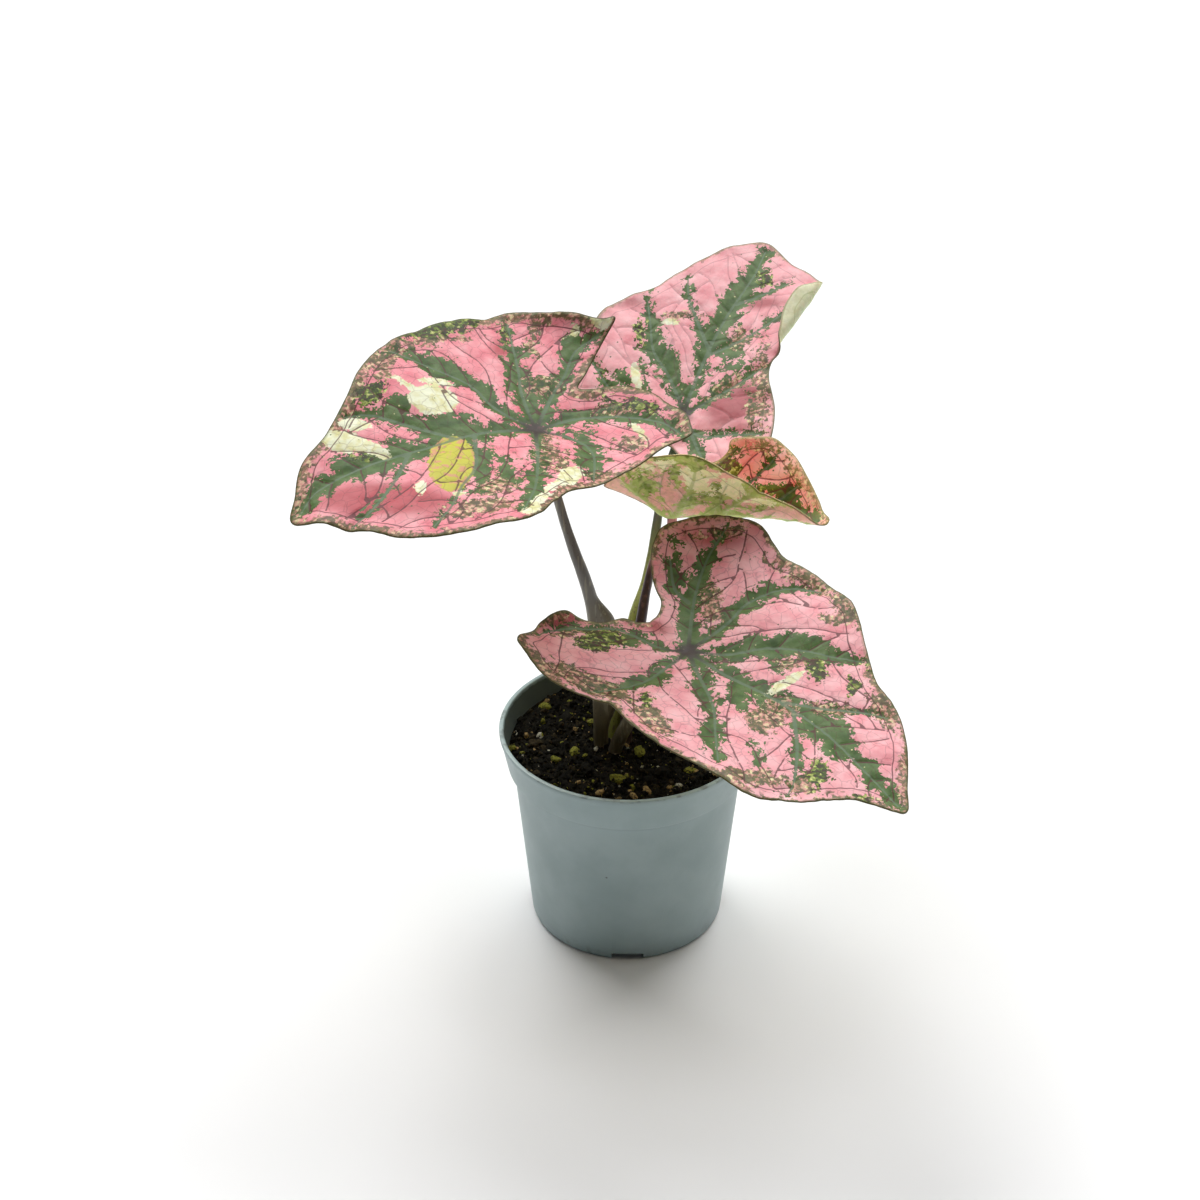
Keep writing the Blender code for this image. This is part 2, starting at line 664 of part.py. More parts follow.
def vein_strength(leaf, places):
    """1 on a main vein and 0 away from it, and the distance to the nearest one."""
    strength = np.zeros(len(places))
    nearest = np.full(len(places), np.inf)
    for order, vein in enumerate(leaf.veins):
        away, along = distance_to_line(places, smooth_route(vein, VEIN_STEP))
        width = VEIN_HALF_WIDTH * (MIDRIB_WIDTH if order == 0 else 1.0) * (1 - VEIN_NARROWS * along)
        height = (1.0 if order == 0 else SIDE_VEIN_HEIGHT) * (1 - VEIN_SINKS * along)
        strength = np.maximum(strength, height * np.exp(-((away / width) ** 2)))
        nearest = np.minimum(nearest, away)
    return strength, nearest


def blade_height(leaf, places):
    """How far the upper face lies above the leaf's own plane, in mm."""
    a, b = places[:, 0] / UNIT, places[:, 1] / UNIT
    height = leaf.crease * (np.hypot(b, CREASE_SOFT) - CREASE_SOFT)
    for (along, across), amount in leaf.lift.items():
        height = height + amount * a**along * b**across
    rise = np.where(b > 0, leaf.lobe_rise[0], leaf.lobe_rise[1])
    return height + rise * np.maximum(-a, 0.0) ** 2


def lay_blade(leaf, places):
    """World places, in mm, of flat places on the leaf's upper face."""
    points = np.column_stack([places, np.zeros(len(places))])
    for curl in leaf.curls:
        points = bend_sheet(points, curl)
    amount, waves, phase = leaf.ripple
    reach = np.minimum(np.hypot(places[:, 0], places[:, 1]) / UNIT, RIPPLE_LIMIT)
    turn = np.arctan2(places[:, 1], places[:, 0]) * waves + math.radians(phase)
    strength, nearest = vein_strength(leaf, places)
    quilt = QUILT_HEIGHT * (1 - np.exp(-((nearest / QUILT_REACH) ** 2)))
    points[:, 2] += blade_height(leaf, points[:, :2]) + amount * reach**2 * np.sin(turn)
    points[:, 2] += quilt - GROOVE_DEPTH * strength
    for fold in leaf.folds:
        points = bend_sheet(points, fold)
    along, left, up = leaf_axes(leaf)
    return np.array(leaf.attach) + points @ np.array([along, left, up])


def inside(places, loop):
    """Which places lie inside the closed loop."""
    found = np.zeros(len(places), bool)
    x, y = places[:, 0], places[:, 1]
    for (ax, ay), (bx, by) in zip(loop, np.roll(loop, -1, axis=0)):
        if ay == by:
            continue
        crosses = (ay > y) != (by > y)
        found ^= crosses & (x < (bx - ax) * (y - ay) / (by - ay) + ax)
    return found


def bend_lines(bend, reach):
    """Flat places along a bend, in rows where the sheet starts, goes on and ends its turn."""
    toward = math.radians(bend.toward)
    out = np.array([math.cos(toward), math.sin(toward)])
    side = np.array([-out[1], out[0]])
    arc = bend.radius * math.radians(abs(bend.angle))
    half = min(bend.span + bend.fade, reach)
    steps = np.arange(-half, half, MARGIN_STEP)
    rows = [np.array(bend.at) + out * arc * share + steps[:, None] * side for share in (0.0, 0.5, 1.0)]
    return np.vstack(rows)


def mesh_places(leaf):
    """Flat places for the blade's mesh: its margin first, then veins, bends and the rest."""
    margin = smooth_loop(leaf.outline, MARGIN_STEP)
    groups = [(np.zeros((1, 2)), CLOSEST)]
    for order, vein in enumerate(leaf.veins):
        line = smooth_route(vein, VEIN_STEP)
        side = np.gradient(line, axis=0)
        side = np.column_stack([-side[:, 1], side[:, 0]])
        side /= np.linalg.norm(side, axis=1)[:, None]
        flank = VEIN_HALF_WIDTH * FLANK * (MIDRIB_WIDTH if order == 0 else 1.0)
        for offset in (0.0, flank, -flank):
            groups.append(((line + offset * side)[1:], CLOSEST))
    for bend in leaf.curls + leaf.folds:
        groups.append((bend_lines(bend, UNIT), CLOSEST))
    low, high = margin.min(axis=0), margin.max(axis=0)
    for row, v in enumerate(np.arange(low[1], high[1], MESH_STEP * math.sqrt(0.75))):
        u = np.arange(low[0] + (row % 2) * MESH_STEP / 2, high[0], MESH_STEP)
        groups.append((np.column_stack([u, np.full(len(u), v)]), FILL * MESH_STEP))
    kept = list(margin)
    closed = np.vstack([margin, margin[:1]])
    for group, spacing in groups:
        away, _ = distance_to_line(group, closed)
        for place in group[inside(group, margin) & (away > CLOSEST)]:
            if np.hypot(*(np.array(kept) - place).T).min() > spacing:
                kept.append(place)
    return np.array(kept), len(margin)


def make_blade(leaf, parts):
    """One leaf blade as a waved sheet with its thickness below and ribs under its veins."""
    places, count = mesh_places(leaf)
    ring = [(i, (i + 1) % count) for i in range(count)]
    flat = delaunay_2d_cdt([tuple(p) for p in places], ring, [list(range(count))], 1, 1e-5)
    places = np.array([tuple(p) for p in flat[0]])
    world = lay_blade(leaf, places) * MM
    mesh = bpy.data.meshes.new(leaf.name)
    mesh.from_pydata([tuple(p) for p in world], [], flat[2])
    finish = plain_material(leaf.name + "_green_pink", (0.72, 0.22, 0.27), 0.45)
    blade = add_object(leaf.name, mesh, parts, finish)
    strength, _ = vein_strength(leaf, places)
    group = blade.vertex_groups.new(name="thickness")
    full = BLADE_THICKNESS + RIB_HEIGHT
    for i, rib in enumerate(strength):
        group.add([i], float((BLADE_THICKNESS + RIB_HEIGHT * rib) / full), "REPLACE")
    shell = blade.modifiers.new("thickness", "SOLIDIFY")
    shell.thickness = full * MM
    shell.offset = -1.0
    shell.vertex_group = group.name
    mesh.shade_smooth()


def main():
    clear_scene()
    parts = new_collection("caladium")
    cutters = new_collection("cutters")
    make_pot(parts, cutters)
    make_tuber(parts)
    holes = make_stalks(parts)
    make_soil(parts, cutters, tuber_mesh(TUBER_CLEARANCE), holes)
    for leaf in LEAVES:
        make_blade(leaf, parts)


main()
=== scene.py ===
"""Looks of a young caladium in its round nursery pot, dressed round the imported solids.

Leaf shapes are given in millimetres on the flat leaf, from the place where its stalk joins it:
u runs along the midrib to the tip and v to the leaf's left. Everything else is in metres.
"""

import json
import logging
import math
from dataclasses import dataclass, field
from enum import Enum

import bmesh
import bpy
import numpy as np
from mathutils import Matrix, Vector
from mathutils.geometry import delaunay_2d_cdt

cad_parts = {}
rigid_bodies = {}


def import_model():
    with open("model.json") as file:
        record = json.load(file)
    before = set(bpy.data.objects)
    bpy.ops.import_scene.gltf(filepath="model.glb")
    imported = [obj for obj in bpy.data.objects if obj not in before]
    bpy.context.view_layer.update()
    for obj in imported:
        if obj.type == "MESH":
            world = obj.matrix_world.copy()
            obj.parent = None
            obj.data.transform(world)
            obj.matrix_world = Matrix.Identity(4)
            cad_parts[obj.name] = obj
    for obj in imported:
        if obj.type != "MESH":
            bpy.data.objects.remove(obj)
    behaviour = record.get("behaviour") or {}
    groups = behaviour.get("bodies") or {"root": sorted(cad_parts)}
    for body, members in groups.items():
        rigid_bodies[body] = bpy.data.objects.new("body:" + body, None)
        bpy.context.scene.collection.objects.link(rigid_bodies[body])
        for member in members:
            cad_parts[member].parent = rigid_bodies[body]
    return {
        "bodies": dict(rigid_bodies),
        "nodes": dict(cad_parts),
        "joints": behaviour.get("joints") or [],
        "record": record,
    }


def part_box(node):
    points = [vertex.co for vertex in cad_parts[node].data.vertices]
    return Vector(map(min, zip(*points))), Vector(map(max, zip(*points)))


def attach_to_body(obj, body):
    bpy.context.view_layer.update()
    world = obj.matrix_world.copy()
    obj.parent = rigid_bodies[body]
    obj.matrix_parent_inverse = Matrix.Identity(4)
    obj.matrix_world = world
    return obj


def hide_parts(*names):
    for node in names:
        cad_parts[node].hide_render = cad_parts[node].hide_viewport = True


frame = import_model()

LOG = logging.getLogger("caladium")
MM = 0.001
BODY = "root"

# In mm: how far the vein along a leaf's margin lies from its edge, the flat leaf that one unit of
# its UV map stands for, and how far outside every mark a place counts as lying when none is near.
MARGIN_VEIN = 3.1
UV_UNIT = 100.0
UNMARKED = -9.0

Colour = tuple[float, float, float]
Point = tuple[float, ...]
Socket = bpy.types.NodeSocket


def shade(red: int, green: int, blue: int) -> Colour:
    """Turns a screen colour of 0 to 255 into the linear one that shaders take.

    Args:
        red: Screen red.
        green: Screen green.
        blue: Screen blue.

    Returns:
        The linear colour.
    """
    def linear(value: int) -> float:
        """One channel of it."""
        part = value / 255
        return part / 12.92 if part <= 0.04045 else ((part + 0.055) / 1.055) ** 2.4

    return linear(red), linear(green), linear(blue)


class Tint(Enum):
    """What a marked patch of a leaf is painted."""

    GREEN = "green"
    PINK = "pink"
    CREAM = "cream"
    YELLOW = "yellow"
    # Red marks: partly the leaf's own deeper red, partly painted light (the deep red of light shining through
    # the blade) and painted shade on its waves.
    RED = "red"
    MOTTLED = "mottled"
    # Olive marks: partly the leaf's own dark olive, partly painted shade where one blade lies in another's
    # shadow.
    OLIVE = "olive"


@dataclass(frozen=True)
class Bend:
    """A turn of the blade beyond a straight line on it, as in the part's own source."""

    at: Point
    toward: float
    radius: float
    angle: float
    span: float = 1000.0
    fade: float = 6.0

    def apply(self, points: np.ndarray) -> np.ndarray:
        """Turns what lies beyond the line about it.

        Args:
            points: Rows of u, v and height.

        Returns:
            The turned rows.
        """
        toward = math.radians(self.toward)
        out = np.array([math.cos(toward), math.sin(toward)])
        side = np.array([-out[1], out[0]])
        flat = points[:, :2] - np.array(self.at)
        beyond = flat @ out
        spare = np.clip((np.abs(flat @ side) - self.span) / self.fade, 0.0, 1.0)
        full = math.radians(abs(self.angle)) * (1 - spare * spare * (3 - 2 * spare))
        sign = math.copysign(1.0, self.angle)
        turn = np.minimum(np.maximum(beyond, 0) / self.radius, full)
        rest = np.maximum(beyond, 0) - turn * self.radius
        height = points[:, 2] * sign
        reach = self.radius * np.sin(turn) + rest * np.cos(turn) - height * np.sin(turn)
        rise = self.radius * (1 - np.cos(turn)) + rest * np.sin(turn) + height * np.cos(turn)
        bent = points.copy()
        moves = beyond > 0
        bent[moves, :2] += (reach - beyond)[moves, None] * out
        bent[moves, 2] = (rise * sign)[moves]
        return bent


@dataclass(frozen=True)
class Vein:
    """A main vein: its route on the flat leaf, and the half width of the green along it."""

    route: tuple[Point, ...]
    green: Point


def between(
    before: np.ndarray, start: np.ndarray, end: np.ndarray, after: np.ndarray, t: float,
) -> np.ndarray:
    """A Catmull-Rom point, t of the way from start to end."""
    return 0.5 * (
        2 * start
        + (end - before) * t
        + (2 * before - 5 * start + 4 * end - after) * t**2
        + (3 * start - before - 3 * end + after) * t**3
    )


def smooth_route(points: tuple[Point, ...], step: float) -> np.ndarray:
    """Points about a step apart on a smooth open curve.

    Args:
        points: Rows that the curve passes through.
        step: Distance between the points, measured over at most three columns.

    Returns:
        The points as rows.
    """
    rows = np.asarray(points, float)
    ends = np.vstack([2 * rows[0] - rows[1], rows, 2 * rows[-1] - rows[-2]])
    made = []
    for before, start, end, after in zip(ends, ends[1:], ends[2:], ends[3:]):
        pieces = max(1, round(float(np.linalg.norm((end - start)[:3])) / step))
        made += [between(before, start, end, after, i / pieces) for i in range(pieces)]
    made.append(rows[-1])
    return np.array(made)


def smooth_loop(points: tuple[Point, ...], step: float) -> np.ndarray:
    """Points about a step apart on a smooth closed curve through the points."""
    rows = np.asarray(points, float)
    made = []
    for i, start in enumerate(rows):
        end, after = rows[(i + 1) % len(rows)], rows[(i + 2) % len(rows)]
        pieces = max(1, round(float(np.linalg.norm(end - start)) / step))
        made += [between(rows[i - 1], start, end, after, k / pieces) for k in range(pieces)]
    return np.array(made)


def distance_to_line(places: np.ndarray, line: np.ndarray) -> tuple[np.ndarray, np.ndarray]:
    """How far places lie from a line of straight pieces.

    Args:
        places: Rows of u and v.
        line: The line's points.

    Returns:
        The distances, and how far along the line each nearest point is, from 0 to 1.
    """
    lengths = np.linalg.norm(np.diff(line, axis=0), axis=1)
    passed = np.concatenate([[0.0], np.cumsum(lengths)])
    nearest = np.full(len(places), np.inf)
    along = np.zeros(len(places))
    for i, length in enumerate(lengths):
        step = line[i + 1] - line[i]
        t = np.clip((places - line[i]) @ step / length**2, 0.0, 1.0)
        away = np.linalg.norm(places - line[i] - t[:, None] * step, axis=1)
        closer = away < nearest
        nearest = np.where(closer, away, nearest)
        along = np.where(closer, (passed[i] + t * length) / passed[-1], along)
    return nearest, along


def distance_to_points(place: np.ndarray, points: np.ndarray) -> float:
    """Distance from one place to the nearest of the points."""
    return float(np.min(np.hypot(*(points - place).T)))


def inside(places: np.ndarray, loop: np.ndarray) -> np.ndarray:
    """Which places lie inside the closed loop."""
    found = np.zeros(len(places), bool)
    x, y = places[:, 0], places[:, 1]
    for (ax, ay), (bx, by) in zip(loop, np.roll(loop, -1, axis=0)):
        if ay != by:
            crosses = (ay > y) != (by > y)
            found ^= crosses & (x < (bx - ax) * (y - ay) / (by - ay) + ax)
    return found


def turn_about(axis: np.ndarray, angle: float) -> np.ndarray:
    """Rotation matrix about a unit axis."""
    x, y, z = axis
    cross = np.array([[0, -z, y], [z, 0, -x], [-y, x, 0]])
    return np.eye(3) + math.sin(angle) * cross + (1 - math.cos(angle)) * cross @ cross


def waves(places: np.ndarray, length: float, seed: int) -> np.ndarray:
    """Smooth random height of about -1 to 1 over the flat leaf.

    Args:
        places: Rows of u and v.
        length: Typical length of a wave, in mm.
        seed: Seed of the draw.

    Returns:
        One height for each place.
    """
    draw = np.random.default_rng(seed)
    total = np.zeros(len(places))
    count = 7
    for _ in range(count):
        angle = draw.uniform(0, math.tau)
        pace = math.tau / (length * draw.uniform(0.6, 1.6))
        way = np.array([math.cos(angle), math.sin(angle)]) * pace
        total += np.sin(places @ way + draw.uniform(0, math.tau))
    return total / math.sqrt(count)


def bands(rings: int, sides: int, first: int = 0) -> list[tuple[int, ...]]:
    """Faces between rings of places, from the innermost outwards.

    Args:
        rings: How many rings there are.
        sides: How many places each ring has.
        first: Number of the first ring's first place.

    Returns:
        The corners of each face.
    """
    faces = []
    for ring in range(rings - 1):
        a, b = first + ring * sides, first + (ring + 1) * sides
        for i in range(sides):
            j = (i + 1) % sides
            faces.append((a + i, b + i, b + j, a + j))
    return faces


def add_object(name: str, data: bpy.types.ID) -> bpy.types.Object:
    """Adds an object to the scene."""
    made = bpy.data.objects.new(name, data)
    bpy.context.scene.collection.objects.link(made)
    return made


def finished_mesh(base: bpy.types.Object, name: str) -> bpy.types.Mesh:
    """A plain mesh of what an object's modifiers make of it."""
    bpy.context.view_layer.update()
    graph = bpy.context.evaluated_depsgraph_get()
    mesh = bpy.data.meshes.new_from_object(base.evaluated_get(graph), depsgraph=graph)
    mesh.name = name
    return mesh


def publish(name: str, mesh: bpy.types.Mesh, slot: str, *nodes: str) -> None:
    """Adds a finished mesh as a piece that rides on the part's one body.

    Args:
        name: The piece's name.
        mesh: Its mesh, already in its place.
        slot: The record's material slot for it; not used.
        nodes: The solids that it stands for.
    """
    piece = add_object(name, mesh)
    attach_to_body(piece, BODY)
    if nodes:
        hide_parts(*nodes)
    LOG.info("%s: %d faces", name, len(mesh.polygons))


class Nodes:
    """Short calls that build a tree of nodes."""

    def __init__(self, tree: bpy.types.NodeTree) -> None:
        """Takes the tree that the nodes go into."""
        self.tree = tree

    def node(self, kind: str, **settings: object) -> bpy.types.Node:
        """Adds a node and sets its options."""
        made = self.tree.nodes.new(kind)
        for key, value in settings.items():
            setattr(made, key, value)
        return made

    def feed(self, socket: Socket, value: object) -> None:
        """Links a socket to another, or sets its value."""
        if isinstance(value, Socket):
            self.tree.links.new(value, socket)
        elif isinstance(value, tuple) and len(value) == 3 and socket.type == "RGBA":
            socket.default_value = (*value, 1.0)
        else:
            socket.default_value = value

    def math(self, operation: str, first: object, second: object = 0.0) -> Socket:
        """A sum of one or two numbers."""
        made = self.node("ShaderNodeMath", operation=operation)
        self.feed(made.inputs[0], first)
        self.feed(made.inputs[1], second)
        return made.outputs[0]

    def vector(self, operation: str, first: object, second: object) -> Socket:
        """A sum of two vectors."""
        made = self.node("ShaderNodeVectorMath", operation=operation)
        self.feed(made.inputs[0], first)
        self.feed(made.inputs[1], second)
        return made.outputs[0]

    def height(self, place: object) -> Socket:
        """How high a place lies."""
        parts = self.node("ShaderNodeSeparateXYZ")
        self.feed(parts.inputs[0], place)
        return parts.outputs[2]

    def step(self, value: object, low: object, high: object, rises: bool) -> Socket:
        """A soft step from 0 to 1 between low and high, or from 1 to 0 when it doesn't rise."""
        made = self.node("ShaderNodeMapRange", interpolation_type="SMOOTHSTEP")
        ends = (0.0, 1.0) if rises else (1.0, 0.0)
        for socket, given in zip(made.inputs, (value, low, high, *ends)):
            self.feed(socket, given)
        return made.outputs[0]


class Paint(Nodes):
    """Short calls that build the nodes of one material."""

    def __init__(self, name: str) -> None:
        """Starts a material with a plain Principled shader."""
        self.material = bpy.data.materials.new(name)
        self.material.use_nodes = True
        super().__init__(self.material.node_tree)
        self.shader = self.tree.nodes["Principled BSDF"]

    def total(self, *parts: object) -> Socket:
        """The sum of several numbers."""
        result = parts[0]
        for part in parts[1:]:
            result = self.math("ADD", result, part)
        return result

    def swing(self, value: object, amount: float) -> Socket:
        """A number of 0 to 1, moved to lie round 0 and made that large."""
        return self.math("MULTIPLY", self.math("SUBTRACT", value, 0.5), amount)

    def edge(self, value: object, low: float, high: float) -> Socket:
        """0 below low, 1 above high and a soft step between; high may be the lower one."""
        return self.step(value, min(low, high), max(low, high), low < high)

    def blend(self, share: object, first: object, second: object) -> Socket:
        """A mix of two colours."""
        made = self.node("ShaderNodeMix", data_type="RGBA")
        self.feed(made.inputs[0], share)
        self.feed(made.inputs[6], first)
        self.feed(made.inputs[7], second)
        return made.outputs[2]

    def cover(self, under: object, mask: object, over: object, share: float) -> Socket:
        """A colour with that share of another laid over it where the mask is."""
        return self.blend(self.math("MULTIPLY", mask, share), under, over)

    def ramp(
        self, value: object, stops: tuple[float, ...], colours: tuple[Colour, ...], hard: bool = False,
    ) -> Socket:
        """A colour for a number of 0 to 1, from the colours at the stops."""
        made = self.node("ShaderNodeValToRGB")
        scale = made.color_ramp
        scale.interpolation = "CONSTANT" if hard else "LINEAR"
        while len(scale.elements) < len(stops):
            scale.elements.new(0.5)
        for element, place, colour in zip(scale.elements, stops, colours):
            element.position = place
            element.color = (*colour, 1.0)
        self.feed(made.inputs[0], value)
        return made.outputs[0]

    def noise(self, place: object, scale: float, detail: float = 2.0, rough: float = 0.5) -> bpy.types.Node:
        """Noise over a place."""
        made = self.node("ShaderNodeTexNoise")
        self.feed(made.inputs["Vector"], place)
        made.inputs["Scale"].default_value = scale
        made.inputs["Detail"].default_value = detail
        made.inputs["Roughness"].default_value = rough
        return made

    def grain(
        self, place: object, scale: float, detail: float = 2.0, rough: float = 0.5,
    ) -> Socket:
        """Noise of 0 to 1 over a place."""
        return self.noise(place, scale, detail, rough).outputs[0]

    def cells(self, place: object, scale: float, feature: str = "F1") -> bpy.types.Node:
        """Cells over a place, for their distances or their random colours."""
        made = self.node("ShaderNodeTexVoronoi", feature=feature)
        self.feed(made.inputs["Vector"], place)
        made.inputs["Scale"].default_value = scale
        return made

    def lot(self, place: object, scale: float) -> Socket:
        """A random number of 0 to 1 for each cell."""
        made = self.node("ShaderNodeSeparateColor")
        self.feed(made.inputs[0], self.cells(place, scale).outputs["Color"])
        return made.outputs[0]

    def dots(self, place: object, scale: float, size: float, share: float) -> Socket:
        """1 on small round dots, in that share of the cells."""
        cell = self.cells(place, scale)
        parts = self.node("ShaderNodeSeparateColor")
        self.feed(parts.inputs[0], cell.outputs["Color"])
        core = size * 0.6
        near = self.edge(cell.outputs["Distance"], size, core)
        return self.math("MULTIPLY", near, self.math("LESS_THAN", parts.outputs[1], share))

    def attribute(self, name: str) -> Socket:
        """A number that the mesh carries."""
        return self.node("ShaderNodeAttribute", attribute_name=name).outputs["Fac"]

    def warp(self, place: object, scale: float, amount: float) -> Socket:
        """A place moved about by noise."""
        moved = self.vector("SUBTRACT", self.noise(place, scale).outputs[1], (0.5, 0.5, 0.5))
        return self.vector("ADD", place, self.vector("MULTIPLY", moved, (amount, amount, amount)))

    def own_place(self) -> Socket:
        """The object's own coordinates, in mm."""
        source = self.node("ShaderNodeTexCoord").outputs["Object"]
        return self.vector("MULTIPLY", source, (1 / MM, 1 / MM, 1 / MM))

    def finish(
        self, colour: object, rough: object, height: object = None, depth: float = 0.0001,
    ) -> bpy.types.Material:
        """Feeds the shader.

        Args:
            colour: Base colour.
            rough: Roughness.
            height: Height of the relief, 0 to 1, or None.
            depth: What a height of 1 measures, in metres.

        Returns:
            The finished material.
        """
        self.feed(self.shader.inputs["Base Color"], colour)
        self.feed(self.shader.inputs["Roughness"], rough)
        if height is not None:
            bump = self.node("ShaderNodeBump")
            bump.inputs["Distance"].default_value = depth
            self.feed(bump.inputs["Height"], height)
            self.feed(self.shader.inputs["Normal"], bump.outputs[0])
        return self.material


@dataclass(frozen=True)
class LeafFinish:
    """Colours of a blade's two faces, and how wide and strong its marked margin is."""

    pinks: tuple[Colour, ...] = (shade(228, 142, 150), shade(240, 172, 177), shade(246, 194, 196))
    greens: tuple[Colour, ...] = (shade(56, 82, 34), shade(78, 106, 50), shade(102, 124, 76))
    creams: tuple[Colour, ...] = (shade(220, 216, 156), shade(238, 240, 210))
    yellows: tuple[Colour, ...] = (shade(198, 194, 70), shade(212, 158, 116))
    olives: tuple[Colour, ...] = (
        shade(66, 46, 26), shade(46, 60, 18), shade(80, 100, 26), shade(118, 138, 44), shade(208, 210, 132),
    )
    mottles: tuple[Colour, ...] = (
        shade(48, 68, 26), shade(78, 98, 42), shade(112, 104, 58), shade(206, 140, 132), shade(226, 222, 166),
    )
    # Deep red of the red marks: partly the leaf's own colour, partly painted light shining through the blade
    # and painted shade.
    red: Colour = shade(170, 46, 54)
    line: Colour = shade(84, 38, 38)
    line_share: float = 0.84
    rib: Colour = shade(98, 118, 90)
    rib_foot: Colour = shade(58, 44, 42)
    rim: Colour = shade(84, 80, 48)
    under: tuple[Colour, ...] = (
        shade(226, 178, 160), shade(176, 186, 96), shade(128, 142, 50), shade(236, 234, 184),
    )
    band: float = 1.5
    band_share: float = 0.85
    rough: float = 0.5
    glow: float = 0.1
    glow_reach: float = 0.0012
    under_blots: float = 0.2
    under_reach: float = 0.002
    under_glow: float = 0.8
    under_rough: float = 0.6
    relief_depth: float = 0.00018

    def place(self, paint: Paint, seed: int) -> Socket:
        """Flat leaf coordinates in mm, moved on so that every leaf has its own pattern."""
        flat = paint.node("ShaderNodeUVMap", uv_map="flat").outputs[0]
        moved_on = (seed * 173.0, seed * 91.0, seed * 7.0)
        return paint.vector("ADD", paint.vector("MULTIPLY", flat, (UV_UNIT, UV_UNIT, 0)), moved_on)

    def ragged(self, paint: Paint, place: object, mark: str, amount: float) -> Socket:
        """1 inside a marked field, with its edge feathered along the finest veins.

        Args:
            paint: The material.
            place: Flat leaf coordinates.
            mark: The field, in mm inside the mark.
            amount: How far the edge is broken up.

        Returns:
            The share.
        """
        coarse = paint.lot(paint.warp(place, scale=0.5, amount=1.4), scale=0.8)
        fine = paint.lot(paint.warp(place, scale=1.6, amount=0.4), scale=2.2)
        value = paint.total(
            paint.attribute(mark),
            paint.swing(paint.grain(place, scale=0.25, detail=3.0), 2.8 * amount),
            paint.swing(coarse, 1.3 * amount),
            paint.swing(fine, 0.8 * amount),
        )
        return paint.edge(value, -0.1, 0.1)

    def blots(self, paint: Paint, place: object, colours: tuple[Colour, ...]) -> Socket:
        """Small blots of several colours that lie against one another."""
        value = paint.total(
            0.5,
            paint.swing(paint.lot(paint.warp(place, scale=0.9, amount=0.9), scale=1.35), 0.52),
            paint.swing(paint.grain(place, scale=0.8, detail=3.0), 1.1),
        )
        return paint.ramp(value, (0.24, 0.42, 0.54, 0.66, 0.86), colours)

    def lines(self, paint: Paint, place: object) -> Socket:
        """1 on the fine dark veins: side veins, the one along the margin and, faintly, the net."""
        unsteady = paint.swing(paint.grain(place, scale=0.9), 0.24)
        side = paint.edge(paint.math("ADD", paint.attribute("net"), unsteady), 0.24, 0.10)
        drift = paint.swing(paint.grain(place, scale=0.12), 2.0)
        margin = paint.math("ADD", paint.attribute("margin"), drift)
        off = paint.math("ABSOLUTE", paint.math("SUBTRACT", margin, MARGIN_VEIN))
        along = paint.edge(off, 0.20, 0.06)
        meshes = paint.cells(paint.warp(place, scale=0.6, amount=1.0), 0.36, "DISTANCE_TO_EDGE")
        faint = paint.math("MULTIPLY", paint.edge(meshes.outputs["Distance"], 0.05, 0.012), 0.3)
        return paint.math("MAXIMUM", paint.math("MAXIMUM", side, along), faint)

    def pink_ground(self, paint: Paint, place: object) -> Socket:
        """Clouded pink, redder where the leaf is marked so (partly its own red, partly painted light and
        shade), with green dots.
        """
        clouds = paint.grain(place, scale=0.2, detail=4.0, rough=0.6)
        pink = paint.ramp(clouds, (0.3, 0.5, 0.72), self.pinks)
        # Red marks: partly the leaf's own red, partly painted light and shade.
        pink = paint.cover(pink, paint.attribute("red"), self.red, 0.75)
        return paint.blend(paint.dots(place, scale=0.42, size=0.11, share=0.35), pink, self.greens[0])

    def green_ground(self, paint: Paint, place: object) -> Socket:
        """Clouded green with cream dots."""
        green = paint.ramp(paint.grain(place, scale=0.3, detail=3.0), (0.3, 0.5, 0.75), self.greens)
        return paint.blend(paint.dots(place, scale=0.7, size=0.17, share=0.28), green, self.creams[0])

    def mottling(self, paint: Paint, place: object) -> Socket:
        """Where the mottling lies: along the margin and in the mottled marks."""
        band = paint.total(
            paint.attribute("margin"),
            paint.swing(paint.grain(place, scale=0.09, detail=3.0), -9.0),
            paint.swing(paint.lot(place, scale=1.1), 1.6),
        )
        band = paint.edge(band, self.band + 0.3, self.band - 0.3)
        band = paint.math("MULTIPLY", band, self.band_share)
        zone = paint.math("MULTIPLY", self.ragged(paint, place, "mottled", 1.3), 0.9)
        return paint.math("MAXIMUM", band, zone)

    def pale_marks(self, paint: Paint, place: object, colour: object) -> Socket:
        """The colour so far with the cream and yellow marks laid over it."""
        cream = paint.ramp(paint.grain(place, scale=0.5), (0.35, 0.6), self.creams)
        cream = paint.blend(paint.dots(place, scale=0.9, size=0.2, share=0.2), cream, self.greens[1])
        colour = paint.blend(self.ragged(paint, place, "cream", 0.4), colour, cream)
        patches = paint.edge(paint.grain(place, scale=0.55, detail=3.0), 0.52, 0.62)
        yellow = paint.blend(patches, *self.yellows)
        return paint.blend(self.ragged(paint, place, "yellow", 0.3), colour, yellow)

    def rims_and_ribs(self, paint: Paint, place: object, colour: object) -> Socket:
        """The colour so far with the green edge, the ribs, the dark spot at the foot and the rim."""
        margin, foot = paint.attribute("margin"), paint.attribute("foot")
        rim = paint.math("ADD", margin, paint.swing(paint.grain(place, scale=0.5), 0.8))
        colour = paint.cover(colour, paint.edge(rim, 0.8, 0.4), self.greens[2], 0.4)
        rib_colour = paint.blend(paint.edge(foot, 8.0, 2.0), self.rib, self.rib_foot)
        colour = paint.cover(colour, paint.edge(paint.attribute("rib"), 0.62, 0.25), rib_colour, 0.8)
        spot = paint.math("ADD", foot, paint.swing(paint.grain(place, scale=0.6, detail=3.0), 2.0))
        colour = paint.cover(colour, paint.edge(spot, 3.4, 1.2), self.rib_foot, 0.85)
        return paint.blend(paint.edge(margin, 0.28, 0.12), colour, self.rim)

